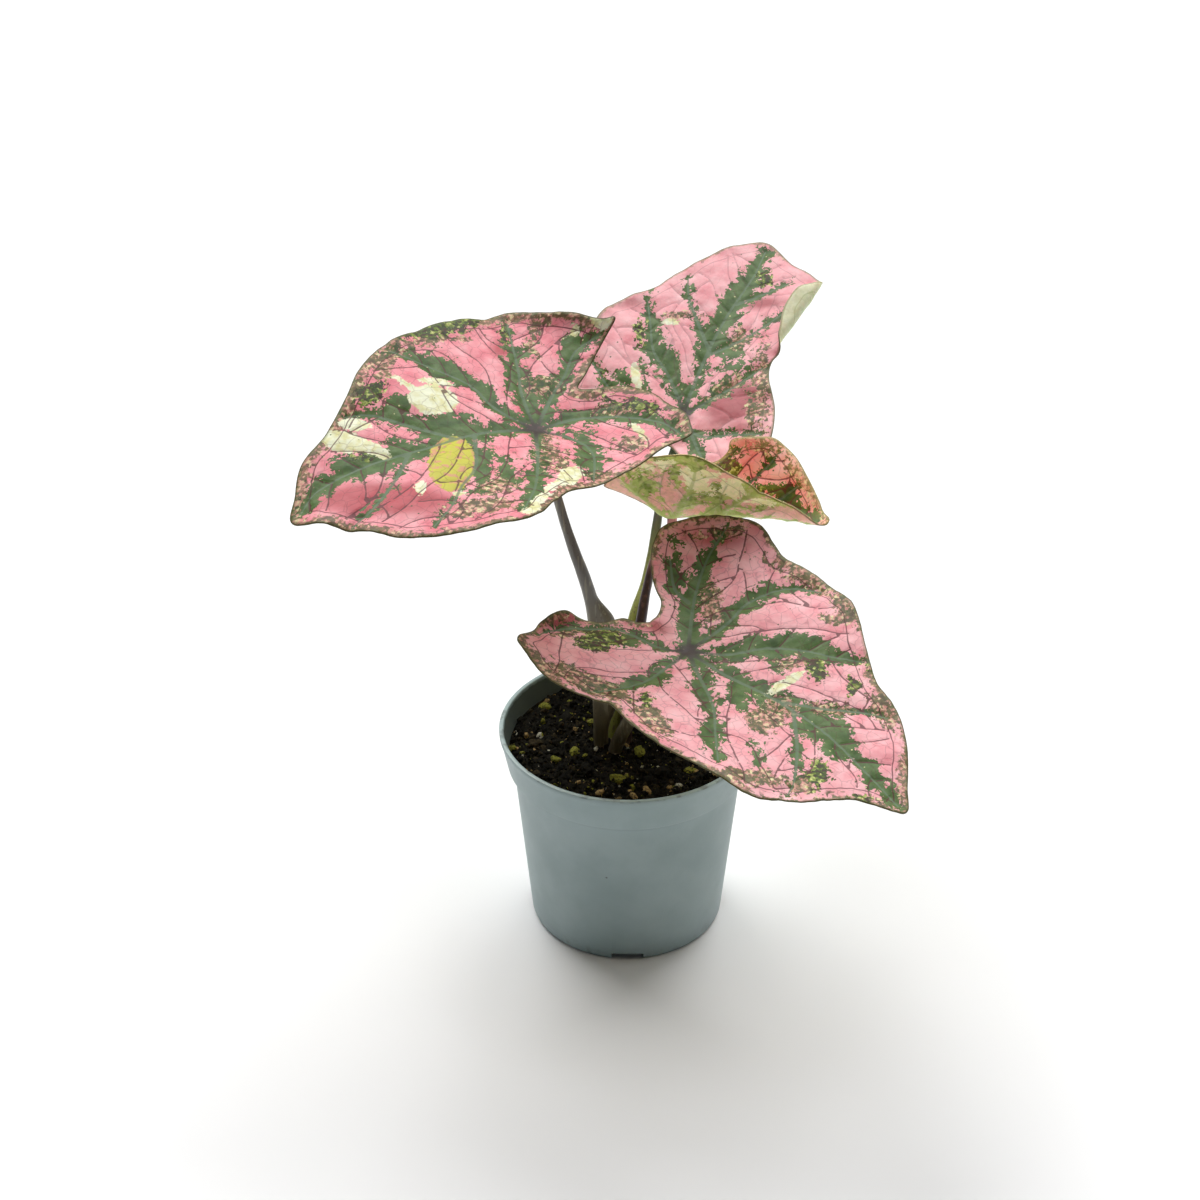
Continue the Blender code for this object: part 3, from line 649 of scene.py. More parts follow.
    def upper(self, seed: int) -> bpy.types.Material:
        """The painted upper face.

        Args:
            seed: Which leaf it is.

        Returns:
            The material.
        """
        paint = Paint(f"leaf_upper_{seed}")
        place = self.place(paint, seed)
        pink, green = self.pink_ground(paint, place), self.green_ground(paint, place)
        colour = paint.blend(self.ragged(paint, place, "green", 1.3), pink, green)
        mottled = self.blots(paint, place, self.mottles)
        colour = paint.blend(self.mottling(paint, place), colour, mottled)
        # Olive blots on the olive marks: partly the leaf's own colour, partly painted shade.
        olive = self.blots(paint, place, self.olives)
        colour = paint.blend(self.ragged(paint, place, "olive", 1.1), colour, olive)
        colour = self.pale_marks(paint, place, colour)
        colour = paint.cover(colour, self.lines(paint, place), self.line, self.line_share)
        colour = self.rims_and_ribs(paint, place, colour)
        relief = paint.total(
            paint.math("MULTIPLY", paint.edge(paint.attribute("net"), 0.0, 0.8), 0.5),
            paint.math("MULTIPLY", paint.cells(place, scale=0.7).outputs["Distance"], -0.25),
            paint.swing(paint.grain(place, scale=3.0, detail=3.0), 0.25),
        )
        rough = paint.total(self.rough, paint.swing(paint.grain(place, scale=0.4), 0.16))
        paint = self.thin(paint, self.glow, self.glow_reach)
        return paint.finish(colour, rough, relief, self.relief_depth)

    def lower(self, seed: int) -> bpy.types.Material:
        """The paler, duller underside, with its veins standing out.

        Args:
            seed: Which leaf it is.

        Returns:
            The material.
        """
        paint = Paint(f"leaf_under_{seed}")
        place = self.place(paint, seed)
        pink, green, olive, cream = self.under
        blots = self.blots(paint, place, (olive, green, green, pink, cream))
        colour = paint.blend(self.ragged(paint, place, "green", 1.2), pink, green)
        colour = paint.cover(colour, self.ragged(paint, place, "mottled", 1.6), blots, 0.8)
        # Olive clouds on the olive marks: partly the leaf's own colour, partly painted shade.
        clouds = paint.grain(place, scale=0.45, detail=4.0)
        shadowed = paint.blend(paint.edge(clouds, 0.42, 0.56), olive, green)
        colour = paint.blend(self.ragged(paint, place, "olive", 1.2), colour, shadowed)
        colour = paint.blend(self.ragged(paint, place, "cream", 0.8), colour, cream)
        colour = paint.blend(self.under_blots, colour, blots)
        colour = paint.cover(colour, self.lines(paint, place), olive, 0.4)
        colour = paint.cover(colour, paint.edge(paint.attribute("rib"), 0.8, 0.4), green, 0.6)
        colour = paint.cover(colour, paint.edge(paint.attribute("margin"), 0.5, 0.25), self.rim, 0.7)
        relief = paint.total(
            paint.math("MULTIPLY", paint.edge(paint.attribute("net"), 0.6, 0.0), 0.5),
            paint.swing(paint.grain(place, scale=2.5, detail=3.0), 0.3),
        )
        paint = self.thin(paint, self.under_glow, self.under_reach)
        return paint.finish(colour, self.under_rough, relief, self.relief_depth)

    def thin(self, paint: Paint, share: float, reach: float) -> Paint:
        """Lets some light through the thin blade, and dulls its sheen."""
        paint.shader.inputs["Subsurface Weight"].default_value = share
        paint.shader.inputs["Subsurface Radius"].default_value = (1.0, 0.8, 0.6)
        paint.shader.inputs["Subsurface Scale"].default_value = reach
        paint.shader.inputs["Specular IOR Level"].default_value = 0.25
        return paint


@dataclass
class LeafBlade:
    """One leaf blade: a fine waved sheet with grooved veins above and ribs below.

    Its marks are ovals on the flat leaf, by tint: rows of u, v, the two half widths and the turn in
    degrees. Pairs and triples are, in order: the lobes' rise on the left and right; the ripple's and
    the flutter's height, its count or length, and its phase or how far in it reaches; the crinkle's
    height and length; the side ribs' height and half width; the least and largest gap between side
    veins; and how much of a side vein's wandering is kept and how much is added at each step.
    """

    name: str
    node: str
    seed: int
    attach: Point
    heading: float
    pitch: float
    roll: float
    lift: dict[tuple[int, int], float]
    outline: tuple[Point, ...]
    veins: tuple[Vein, ...]
    marks: dict[Tint, tuple[Point, ...]]
    crease: float = 0.0
    lobe_rise: Point = (0.0, 0.0)
    curls: tuple[Bend, ...] = ()
    folds: tuple[Bend, ...] = ()
    ripple: Point = (0.8, 7, 0.0)
    ripple_limit: float = 1.3
    unit: float = 50.0
    fineness: float = 0.8
    vein_fineness: float = 0.6
    margin_step: float = 0.7
    clearance: float = 0.4
    side_clearance: float = 0.35
    thickness: float = 0.42
    margin_thickness: float = 0.22
    margin_taper: float = 1.5
    rib_height: float = 0.6
    side_rib: Point = (0.14, 0.45)
    groove: float = 0.35
    quilt: float = 0.5
    quilt_reach: float = 5.0
    vein_half_width: float = 1.1
    cell_swell: float = 0.22
    cell_reach: float = 2.0
    crease_round: float = 0.1
    flutter: Point = (0.35, 11.0, 4.0)
    crinkle: Point = (0.06, 3.0)
    side_vein_gap: Point = (4.6, 7.4)
    side_vein_angle: float = 58.0
    side_vein_stray: float = 9.0
    side_vein_step: float = 0.9
    side_vein_steps: int = 70
    side_vein_bend: float = 0.035
    side_vein_wander: Point = (0.8, 0.05)
    spare: float = 0.05
    ease: float = 12.0
    tooth: float = 1.6
    tooth_width: float = 0.9
    least_green: float = 0.9
    red_fade: float = 2.5
    finish: LeafFinish = field(default_factory=LeafFinish)

    def axes(self) -> tuple[np.ndarray, np.ndarray, np.ndarray]:
        """Unit vectors along the midrib, to the leaf's left and out of its upper face."""
        heading, pitch = math.radians(self.heading), math.radians(self.pitch)
        flat = math.cos(pitch)
        along = np.array([math.cos(heading) * flat, math.sin(heading) * flat, math.sin(pitch)])
        level = np.array([-math.sin(heading), math.cos(heading), 0.0])
        rolled = turn_about(along, math.radians(self.roll))
        return along, rolled @ level, rolled @ np.cross(along, level)

    def side_veins(self, margin: np.ndarray) -> list[np.ndarray]:
        """Grows the side veins from the main ones out to the margin's own vein.

        Args:
            margin: The blade's closed margin.

        Returns:
            Lines of u and v.
        """
        draw = np.random.default_rng(self.seed)
        mains = [smooth_route(vein.route, 0.5) for vein in self.veins]
        grown: list[np.ndarray] = []
        for order, main in enumerate(mains):
            others = np.vstack([line for i, line in enumerate(mains) if i != order])
            passed = np.concatenate([[0.0], np.cumsum(np.hypot(*np.diff(main, axis=0).T))])
            for side in (1, -1):
                start = draw.uniform(*self.side_vein_gap)
                while start < passed[-1] - 2.0:
                    i = int(np.searchsorted(passed, start))
                    tangent = main[min(i + 1, len(main) - 1)] - main[i - 1]
                    way = math.atan2(tangent[1], tangent[0])
                    stray = draw.uniform(-self.side_vein_stray, self.side_vein_stray)
                    way += side * math.radians(self.side_vein_angle + stray)
                    line = self.grow(main[i], way, others, main, margin, grown, draw)
                    if len(line) > 2:
                        grown.append(line)
                    start += draw.uniform(*self.side_vein_gap)
        return grown

    def grow(
        self, foot: np.ndarray, way: float, others: np.ndarray, own: np.ndarray,
        margin: np.ndarray, grown: list[np.ndarray], draw: np.random.Generator,
    ) -> np.ndarray:
        """One side vein, from its foot until it meets another vein or the margin's.

        Args:
            foot: Where it starts.
            way: Its heading there.
            others: Places on the main veins that it doesn't grow from.
            own: Places on the one that it does.
            margin: The blade's closed margin.
            grown: The side veins so far.
            draw: Where the random numbers come from.

        Returns:
            Rows of u and v.
        """
        track = [foot]
        place = foot
        wander = 0.0
        kept, spread = self.side_vein_wander
        for count in range(self.side_vein_steps):
            out = math.atan2(place[1], place[0])
            turn = math.atan2(math.sin(out - way), math.cos(out - way))
            wander = kept * wander + draw.normal(0.0, spread)
            way += self.side_vein_bend * turn + wander
            place = place + self.side_vein_step * np.array([math.cos(way), math.sin(way)])
            track.append(place)
            if distance_to_points(place, margin) < MARGIN_VEIN or distance_to_points(place, others) < 0.6:
                break
            if count > 5 and distance_to_points(place, own) < 0.8:
                break
            if count > 2 and any(distance_to_points(place, line) < 0.8 for line in grown):
                break
        return np.array(track)

    def flat_mesh(self) -> tuple[np.ndarray, list, np.ndarray, list[np.ndarray]]:
        """The flat sheet's places and triangles.

        Returns:
            Places, triangles, the margin with its first place again at its end, and the side veins.
        """
        margin = smooth_loop(self.outline, self.margin_step)
        side_lines = self.side_veins(margin)
        closed = np.vstack([margin, margin[:1]])
        low, high = margin.min(axis=0), margin.max(axis=0)
        rows = []
        for row, v in enumerate(np.arange(low[1], high[1], self.fineness * math.sqrt(0.75))):
            u = np.arange(low[0] + (row % 2) * self.fineness / 2, high[0], self.fineness)
            rows.append(np.column_stack([u, np.full(len(u), v)]))
        fill = np.vstack(rows)
        fill = fill[inside(fill, margin)]
        mains = [smooth_route(vein.route, self.vein_fineness) for vein in self.veins]
        on_veins = np.vstack(mains + side_lines)
        _, first = np.unique(np.round(on_veins / 0.45), axis=0, return_index=True)
        on_veins = on_veins[np.sort(first)]
        on_veins = on_veins[inside(on_veins, margin)]
        clear = distance_to_line(fill, closed)[0] > self.clearance
        for vein in self.veins:
            clear &= distance_to_line(fill, smooth_route(vein.route, 3.0))[0] > self.clearance
        for line in side_lines:
            clear &= distance_to_line(fill, line)[0] > self.side_clearance
        on_veins = on_veins[distance_to_line(on_veins, closed)[0] > self.clearance]
        places = np.vstack([margin, on_veins, fill[clear]])
        count = len(margin)
        ring = [(i, (i + 1) % count) for i in range(count)]
        flat = delaunay_2d_cdt([tuple(p) for p in places], ring, [list(range(count))], 1, 1e-5)
        places = np.array([tuple(p) for p in flat[0]])
        return places, flat[2], closed, side_lines

    def fields(
        self, places: np.ndarray, closed: np.ndarray, side_lines: list[np.ndarray],
    ) -> dict[str, np.ndarray]:
        """Everything that the shape and the paint need to know at each place.

        Args:
            places: Rows of u and v.
            closed: The margin, with its first place again at its end.
            side_lines: The side veins.

        Returns:
            Arrays by name: distances in mm, and how many mm inside a mark each place lies.
        """
        found = {"margin": distance_to_line(places, closed)[0], "foot": np.hypot(*places.T)}
        strength = np.zeros(len(places))
        rib = np.full(len(places), np.inf)
        net = np.full(len(places), np.inf)
        for line in side_lines:
            net = np.minimum(net, distance_to_line(places, line[::2] if len(line) > 4 else line)[0])
        green, close = np.full((2, len(places)), UNMARKED)
        tooth = self.tooth * np.exp(-((net / self.tooth_width) ** 2))
        for order, vein in enumerate(self.veins):
            away, along = distance_to_line(places, smooth_route(vein.route, 2.0))
            width = self.vein_half_width * (1.3 if order == 0 else 1.0) * (1 - 0.5 * along)
            height = (1.0 if order == 0 else 0.8) * (1 - 0.6 * along)
            strength = np.maximum(strength, height * np.exp(-((away / width) ** 2)))
            rib = np.minimum(rib, away / (1.15 - 0.75 * along))
            half = np.interp(along, (0.0, 0.5, 1.0), vein.green)
            green = np.maximum(green, half + tooth * np.clip(half / 2, 0.0, 1.0) - away)
            close = np.maximum(close, np.minimum(half, self.least_green) - away)
        found.update(strength=strength, rib=rib, net=net)
        marks = {tint: np.full(len(places), UNMARKED) for tint in Tint}
        for tint, ovals in self.marks.items():
            for u, v, length, width, degrees in ovals:
                turn = math.radians(degrees)
                way = np.array([[math.cos(turn), -math.sin(turn)], [math.sin(turn), math.cos(turn)]])
                share = np.hypot(*(((places - np.array((u, v))) @ way) / np.array((length, width))).T)
                marks[tint] = np.maximum(marks[tint], (1 - share) * min(length, width))
        green = np.minimum(np.maximum(green, marks[Tint.GREEN]), -marks[Tint.PINK])
        for tint in (Tint.MOTTLED, Tint.OLIVE, Tint.CREAM, Tint.YELLOW):
            found[tint.value] = marks[tint]
        found[Tint.GREEN.value] = np.maximum(green, close)
        found[Tint.RED.value] = np.clip(marks[Tint.RED] / self.red_fade + 0.3, 0.0, 1.0)
        return found

    def lay(self, places: np.ndarray, found: dict[str, np.ndarray]) -> np.ndarray:
        """World places, in mm, of flat places on the upper face.

        Args:
            places: Rows of u and v.
            found: The fields at those places.

        Returns:
            Rows of x, y and z.
        """
        points = np.column_stack([places, np.zeros(len(places))])
        for curl in self.curls:
            points = curl.apply(points)
        a, b = points[:, 0] / self.unit, points[:, 1] / self.unit
        height = self.crease * (np.hypot(b, self.crease_round) - self.crease_round)
        for (along, across), amount in self.lift.items():
            height = height + amount * a**along * b**across
        height += np.where(b > 0, self.lobe_rise[0], self.lobe_rise[1]) * np.maximum(-a, 0.0) ** 2
        amount, count, phase = self.ripple
        reach = np.minimum(found["foot"] / self.unit, self.ripple_limit)
        turn = np.arctan2(places[:, 1], places[:, 0]) * count + math.radians(phase)
        height += amount * reach**2 * np.sin(turn)
        height += self.quilt * (1 - np.exp(-((found["rib"] / self.quilt_reach) ** 2)))
        height -= self.groove * found["strength"]
        nearest = np.minimum(found["net"], found["rib"])
        height += self.cell_swell * (1 - np.exp(-((nearest / self.cell_reach) ** 2)))
        amount, length, fade = self.flutter
        height += amount * waves(places, length, self.seed) * np.exp(-found["margin"] / fade)
        amount, length = self.crinkle
        height += amount * waves(places, length, self.seed + 1)
        points[:, 2] += height
        for fold in self.folds:
            points = fold.apply(points)
        along, left, up = self.axes()
        return self.held(np.array(self.attach) + points @ np.array([along, left, up]))

    def held(self, points: np.ndarray) -> np.ndarray:
        """Eases what stands out of the solid's box back into it.

        Args:
            points: Rows of x, y and z in mm.

        Returns:
            The eased rows.
        """
        low, high = (np.array(corner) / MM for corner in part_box(self.node))
        for sign, limit in ((1.0, high), (-1.0, -low)):
            reach = points * sign
            over = np.maximum(reach.max(axis=0) - limit + self.spare, 0.0)
            near = np.clip((reach - reach.max(axis=0) + self.ease) / self.ease, 0.0, 1.0)
            points = (reach - over * near**2) * sign
        return points

    def thickness_at(self, found: dict[str, np.ndarray]) -> np.ndarray:
        """How thick the blade is at each place, with its ribs and thin margin."""
        thin = np.exp(-found["margin"] / self.margin_taper)
        thick = self.thickness + (self.margin_thickness - self.thickness) * thin
        thick = thick + self.rib_height * found["strength"] * (1 - thin)
        height, half_width = self.side_rib
        return thick + height * np.exp(-((found["net"] / half_width) ** 2)) * (1 - thin)

    def edge_strip(self, closed: np.ndarray, number: int) -> list[tuple[int, ...]]:
        """Faces round the edge, which face outwards whichever way the outline runs.

        Args:
            closed: The margin, with its first place again at its end.
            number: How many places each face of the sheet has.

        Returns:
            The corners of each face.
        """
        u, v = closed.T
        leftward = float(np.sum(u[:-1] * v[1:] - u[1:] * v[:-1])) > 0
        count = len(closed) - 1
        sides = []
        for i in range(count):
            j = (i + 1) % count
            first, last = (i, j) if leftward else (j, i)
            sides.append((last, first, first + number, last + number))
        return sides

    def dress(
        self, mesh: bpy.types.Mesh, places: np.ndarray, found: dict[str, np.ndarray], upper: int,
    ) -> None:
        """Gives the mesh its two finishes and what they read.

        Args:
            mesh: The blade's mesh, the upper face first and then the lower one.
            places: Flat places of one face.
            found: The fields at those places.
            upper: How many faces the upper face has.
        """
        mesh.materials.append(self.finish.upper(self.seed))
        mesh.materials.append(self.finish.lower(self.seed))
        index = np.zeros(len(mesh.polygons), int)
        index[upper:upper * 2] = 1
        mesh.polygons.foreach_set("material_index", index)
        tints = (tint.value for tint in Tint if tint is not Tint.PINK)
        for name in ("margin", "foot", "rib", "net", *tints):
            layer = mesh.attributes.new(name, "FLOAT", "POINT")
            layer.data.foreach_set("value", np.tile(found[name], 2).astype(np.float32))
        uv = mesh.uv_layers.new(name="flat")
        loops = np.zeros(len(mesh.loops), int)
        mesh.loops.foreach_get("vertex_index", loops)
        spread = np.tile(places, (2, 1))[loops] / UV_UNIT
        uv.data.foreach_set("uv", spread.astype(np.float32).ravel())

    def build(self) -> None:
        """Makes the blade and dresses it."""
        places, triangles, closed, side_lines = self.flat_mesh()
        found = self.fields(places, closed, side_lines)
        top = self.lay(places, found)
        faces = np.array(triangles)
        corners = top[faces]
        square = np.cross(corners[:, 1] - corners[:, 0], corners[:, 2] - corners[:, 0])
        normals = np.zeros_like(top)
        for k in range(3):
            np.add.at(normals, faces[:, k], square)
        normals /= np.linalg.norm(normals, axis=1)[:, None]
        bottom = top - normals * self.thickness_at(found)[:, None]
        number = len(top)
        under = [(a + number, c + number, b + number) for a, b, c in triangles]
        sides = self.edge_strip(closed, number)
        mesh = bpy.data.meshes.new(self.name)
        mesh.from_pydata(np.vstack([top, bottom]) * MM, [], list(triangles) + under + sides)
        self.dress(mesh, places, found, len(triangles))
        mesh.shade_smooth()
        mesh.update()
        publish(self.name, mesh, "leaf_pink_green", self.node)


LEAVES = (
    LeafBlade(
        name="left_leaf", node="blade_left", seed=1, attach=(-20.3, 0.0, 129.3),
        finish=LeafFinish(pinks=(shade(222, 118, 130), shade(240, 152, 160), shade(247, 180, 184)), band=1.7),
        heading=214.0, pitch=12.0, roll=-12.0, lift={(2, 0): -5.0, (3, 0): -7.0},
        crease=6.0, lobe_rise=(30.0, 30.0), ripple=(0.8, 7, 20.0),
        curls=(Bend(at=(-24.0, -17.0), toward=216.0, radius=5.0, angle=45.0),),
        outline=(
            (57.5, 3.5), (54.5, -2.5), (50.5, -9.0), (43.5, -13.5), (36.0, -20.5), (31.5, -25.5),
            (26.0, -30.0), (19.5, -33.5), (10.5, -36.0), (3.0, -36.5), (-5.0, -36.0), (-12.0, -36.5),
            (-18.0, -32.5), (-23.0, -28.0), (-27.0, -22.5), (-29.0, -20.0), (-25.5, -17.5),
            (-18.0, -11.0), (-15.0, -8.5), (-17.5, -6.5), (-22.5, -5.0), (-26.0, -0.5), (-27.5, 6.5),
            (-28.0, 12.5), (-27.0, 17.5), (-25.5, 19.5), (-21.0, 19.0), (-14.5, 20.5), (-6.5, 23.0),
            (-0.5, 24.5), (6.5, 25.5), (13.5, 28.5), (19.0, 32.0), (25.0, 32.0), (31.5, 30.5),
            (38.5, 27.5), (43.5, 24.5), (48.5, 18.5), (53.5, 11.0),
        ),
        veins=(
            Vein(((0, 0), (14, -1), (27, 0), (40, -1), (50, -1), (55, 2)), (1.0, 4.0, 1.6)),
            Vein(((0, 0), (6, -8), (8, -16), (14, -23), (21, -31)), (1.0, 3.0, 1.5)),
            Vein(((0, 0), (-3, -12), (-6, -19), (-9, -28), (-11, -34)), (1.2, 2.8, 1.2)),
            Vein(((0, 0), (-9, -9), (-15, -14), (-20, -19), (-26, -20)), (1.0, 2.0, 1.0)),
            Vein(((0, 0), (-10, -1), (-17, 2), (-20, 5), (-24, 11), (-25, 17)), (1.0, 2.2, 1.2)),
            Vein(((0, 0), (-6, 5), (-7, 12), (-1, 22)), (1.0, 2.2, 1.2)),
            Vein(((0, 0), (7, 12), (14, 22), (21, 29)), (1.2, 2.2, 1.4)),
            Vein(((15, -1), (21, 10), (27, 15), (32, 20), (38, 24)), (1.4, 0.5, 0.5)),
            Vein(((20, -1), (27, -8), (33, -14), (38, -16)), (3.0, 2.0, 1.0)),
            Vein(((31, 0), (38, 7), (45, 12), (50, 14)), (1.0, 0.5, 0.5)),
        ),
        marks={
            Tint.GREEN: (
                (24, -4, 10.7, 4.6, 8), (20, 11, 10.7, 2.4, 60), (15, 15, 6.9, 4.2, 53),
                (-5, 11, 10.9, 2.9, 57), (27, -14, 3.1, 2.9, 0), (43, -4, 3.5, 2.5, -19),
                (49, -2, 2.4, 2.2, 4), (-7, -20, 8.0, 2.8, 49), (-8, -12, 6.2, 3.7, 7),
                (12, -23, 6.8, 3.5, -42), (-15, 2, 8.6, 1.9, -25), (-20, -21, 5.5, 1.9, 47),
            ),
            Tint.OLIVE: (
                (7, -35, 10.5, 2.9, 2), (31, -19, 4.2, 2.3, 19), (38, -4, 2.7, 1.8, -44),
                (-23, 3, 5.8, 1.4, -65), (-8, -30, 2.9, 1.4, 57), (-28, 16, 1.0, 0.7, -86),
            ),
            Tint.MOTTLED: (
                (23, -28, 7.5, 2.8, 42), (11, -32, 7.5, 2.0, -3), (-8, -13, 4.3, 3.0, -8),
                (-15, -29, 6.5, 1.4, 63), (28, 24, 7.3, 3.3, -17), (21, 19, 4.1, 3.3, 52),
                (4, 11, 8.6, 2.0, 56), (-19, 1, 5.2, 2.0, -41), (35, -21, 5.7, 1.6, 48),
                (-3, 22, 3.1, 2.1, 43), (3, 15, 4.4, 1.8, 52), (-15, 13, 3.4, 2.2, -13),
            ),
            Tint.PINK: (
                (9, 9, 8.7, 2.4, 57), (13, 5, 4.6, 0.9, 59), (-2, 9, 7.9, 2.2, 56),
                (-9, 2, 1.4, 1.1, -5), (31, -8, 5.4, 1.7, -53), (34, -11, 3.4, 1.1, -29),
                (21, -23, 4.0, 3.2, 19), (28, -18, 1.5, 1.3, 57), (-17, -27, 5.1, 1.8, 64),
                (-12, -29, 6.2, 2.1, 62), (-12, -19, 4.0, 3.6, 52), (11, -11, 4.7, 3.2, 88),
            ),
            Tint.CREAM: (
                (19, -13, 5.6, 4.4, -16), (16, -18, 4.1, 1.5, -24), (23, -19, 2.9, 0.9, -67),
                (41, -10, 4.6, 2.8, -58), (37, -5, 5.2, 1.5, -64), (37, -13, 3.3, 1.8, -32),
                (35, 12, 2.7, 1.0, 64), (29, 17, 1.2, 1.1, -28), (4, 20, 5.7, 2.3, 37),
                (10, 23, 3.3, 1.2, 24), (16, 27, 4.1, 1.3, 32), (20, 30, 2.3, 1.5, 6),
                (-19, 11, 3.4, 0.8, 87), (-22, -24, 1.5, 1.0, 77), (-27, -22, 2.4, 1.5, -67),
            ),
            Tint.YELLOW: (
                (25, 7, 10.2, 4.9, 58),
            ),
            # Red marks: partly the leaf's own red, partly painted light and shade.
            Tint.RED: (
                (42, 11, 15.0, 5.5, -42), (-5, -26, 3.9, 2.7, 40), (-14, -7, 3.4, 1.4, 4),
            ),
        },
    ),
    LeafBlade(
        name="front_leaf", node="blade_front", seed=2, attach=(12.7, -22.0, 86.6),
        finish=LeafFinish(band=0.9),
        heading=-48.0, pitch=-3.5, roll=3.0,
        lift={(2, 0): 2.8, (1, 1): -1.8, (0, 2): 5.5, (3, 0): -4.6, (2, 1): 1.5, (1, 2): -8.5},
        crease=7.0, lobe_rise=(8.0, 0.5), ripple=(0.8, 6, 100.0),
        curls=(Bend(at=(-20.0, -17.0), toward=188.0, radius=2.5, angle=70.0, span=4.0, fade=4.0),),
        outline=(
            (65.5, -1.5), (61.0, 4.0), (55.5, 10.0), (50.5, 14.5), (44.5, 18.0), (38.0, 20.0),
            (32.0, 23.5), (26.0, 27.5), (22.0, 30.5), (17.0, 33.0), (9.5, 34.0), (2.0, 34.0),
            (-3.5, 33.0), (-8.0, 34.0), (-12.0, 35.0), (-16.0, 34.5), (-20.0, 32.0), (-23.5, 29.0),
            (-26.5, 25.5), (-28.5, 22.0), (-29.0, 18.5), (-27.5, 15.0), (-25.0, 12.0), (-22.0, 9.5),
            (-18.5, 7.5), (-14.5, 5.5), (-12.0, 1.5), (-13.5, -2.0), (-17.0, -4.0), (-17.5, -8.5),
            (-21.0, -11.5), (-23.5, -15.0), (-23.5, -20.0), (-21.0, -27.0), (-20.0, -31.5),
            (-16.0, -33.5), (-10.0, -35.0), (-4.5, -35.5), (1.5, -34.0), (5.0, -31.5), (7.0, -29.8),
            (11.0, -30.5), (18.0, -32.0), (23.0, -31.5), (29.5, -29.0), (36.5, -27.0), (43.0, -25.5),
            (48.0, -21.5), (52.0, -17.0), (55.5, -10.5), (59.5, -6.0),
        ),
        veins=(
            Vein(((0, 0), (12, 0), (23, 1.5), (38, 2), (54, 0), (63, -1)), (1.5, 3.5, 1.5)),
            Vein(((0, 0), (-9, 10), (-14, 17), (-17, 23), (-19, 30)), (1.5, 2.2, 0.8)),
            Vein(((-11, 10.5), (-16, 11), (-23, 16)), (1.0, 1.2, 0.6)),
            Vein(((0, 0), (0, 12), (-1, 19), (2, 27), (9, 32)), (1.0, 2.0, 1.0)),
            Vein(((0, 0), (7, 5), (12, 12), (19, 17), (25, 20), (30, 23)), (1.2, 3.0, 1.0)),
            Vein(((0, 0), (-4, -4), (-12, -6), (-16, -9), (-20, -18), (-20, -26)), (1.2, 1.6, 0.6)),
            Vein(((0, 0), (2, -8), (4, -17), (3, -25), (1, -31)), (1.5, 2.2, 1.0)),
            Vein(((0, 0), (7, -4), (18, -10), (26, -17), (33, -23)), (1.5, 1.5, 0.8)),
            Vein(((26, 2), (34, 7), (41, 13), (45, 15)), (1.2, 0.9, 0.5)),
            Vein(((30, 2), (39, -6), (46, -14), (48, -18)), (1.5, 1.0, 0.5)),
        ),
        marks={
            Tint.GREEN: (
                (16, -10, 10.0, 3.3, -41), (25, -17, 6.3, 2.4, -47), (21, -2, 6.2, 4.6, -32),
                (34, 0, 7.5, 2.8, -47), (42, 2, 5.8, 3.4, -55), (35, 7, 5.0, 2.6, 50),
                (53, 0, 4.4, 1.4, -33), (15, 16, 6.7, 3.0, 36), (17, 11, 3.5, 2.0, -44),
                (3, -13, 4.8, 2.9, -87), (-8, 8, 10.4, 2.5, -47), (-21, 16, 7.4, 0.9, -43),
                (-16, 21, 4.6, 1.4, -60), (-2, 18, 5.9, 1.7, 88), (-11, -10, 7.4, 2.8, 74),
                (7, -3, 4.7, 2.7, -47), (36, -15, 4.6, 1.1, -45), (12, 1, 3.9, 1.6, 12),
            ),
            Tint.OLIVE: (
                (-13, -14, 6.5, 4.0, -87), (25, 14, 3.4, 2.6, -45), (34, 16, 2.2, 1.5, -50),
                (48, -9, 4.6, 2.3, -50), (33, 23, 2.4, 1.1, 0), (10, -22, 3.0, 1.7, -50),
                (58, -6, 2.6, 0.8, 60),
            ),
            Tint.MOTTLED: (
                (-1, -28, 10.3, 4.1, 20), (17, -26, 6.5, 3.2, -13), (29, -5, 5.4, 3.9, -53),
                (41, -20, 7.1, 2.2, 49), (48, -14, 3.5, 2.8, 74), (-6, 13, 6.0, 2.7, -43),
                (3, 32, 10.1, 2.2, 10), (17, 31, 5.9, 2.3, -26), (43, 16, 5.9, 2.5, -23),
                (18, 28, 3.1, 1.8, 40), (-19, 28, 5.1, 1.5, 48), (19, 12, 2.7, 2.5, 27),
                (-18, -19, 4.0, 1.2, 84), (27, 1, 4.7, 2.9, -12), (35, 8, 4.4, 1.9, 49),
            ),
            Tint.PINK: (
                (6, -7, 5.0, 3.1, -50), (14, -4, 5.4, 1.8, -49), (8, 0, 2.9, 0.9, -34),
                (23, -11, 4.5, 1.7, -14), (29, -8, 6.2, 1.3, -37), (35, -5, 8.3, 1.7, -49),
                (14, 7, 4.0, 1.3, 35), (16, -19, 9.1, 5.9, -46), (-5, -19, 8.8, 4.6, 52),
                (-14, -25, 5.1, 3.4, -75), (51, -4, 4.3, 2.9, -57), (-8, 2, 3.8, 1.9, -33),
            ),
            Tint.CREAM: (
                (23, 7, 5.3, 1.3, 85),
            ),
            # Red marks: partly the leaf's own red, partly painted light and shade.
            Tint.RED: (
                (-23, -17, 7.0, 4.0, 78), (-18, 26, 7.0, 2.5, 43), (-11, -1, 5.6, 2.0, 30),
            ),
        },
    ),
    LeafBlade(
        name="back_leaf", node="blade_back", seed=3, attach=(13.2, 52.0, 105.7),
        finish=LeafFinish(
            band=0.2, band_share=0.5, line_share=0.3, rim=shade(120, 116, 88), red=shade(146, 28, 38),
            under=(shade(208, 222, 184), shade(182, 202, 148), shade(140, 162, 100), shade(226, 232, 204)),
        ),
        heading=66.0, pitch=25.0, roll=0.0, lift={(2, 0): -2.0, (3, 0): -2.0},
        crease=4.0, lobe_rise=(6.0, 6.0), ripple=(0.8, 7, 0.0),
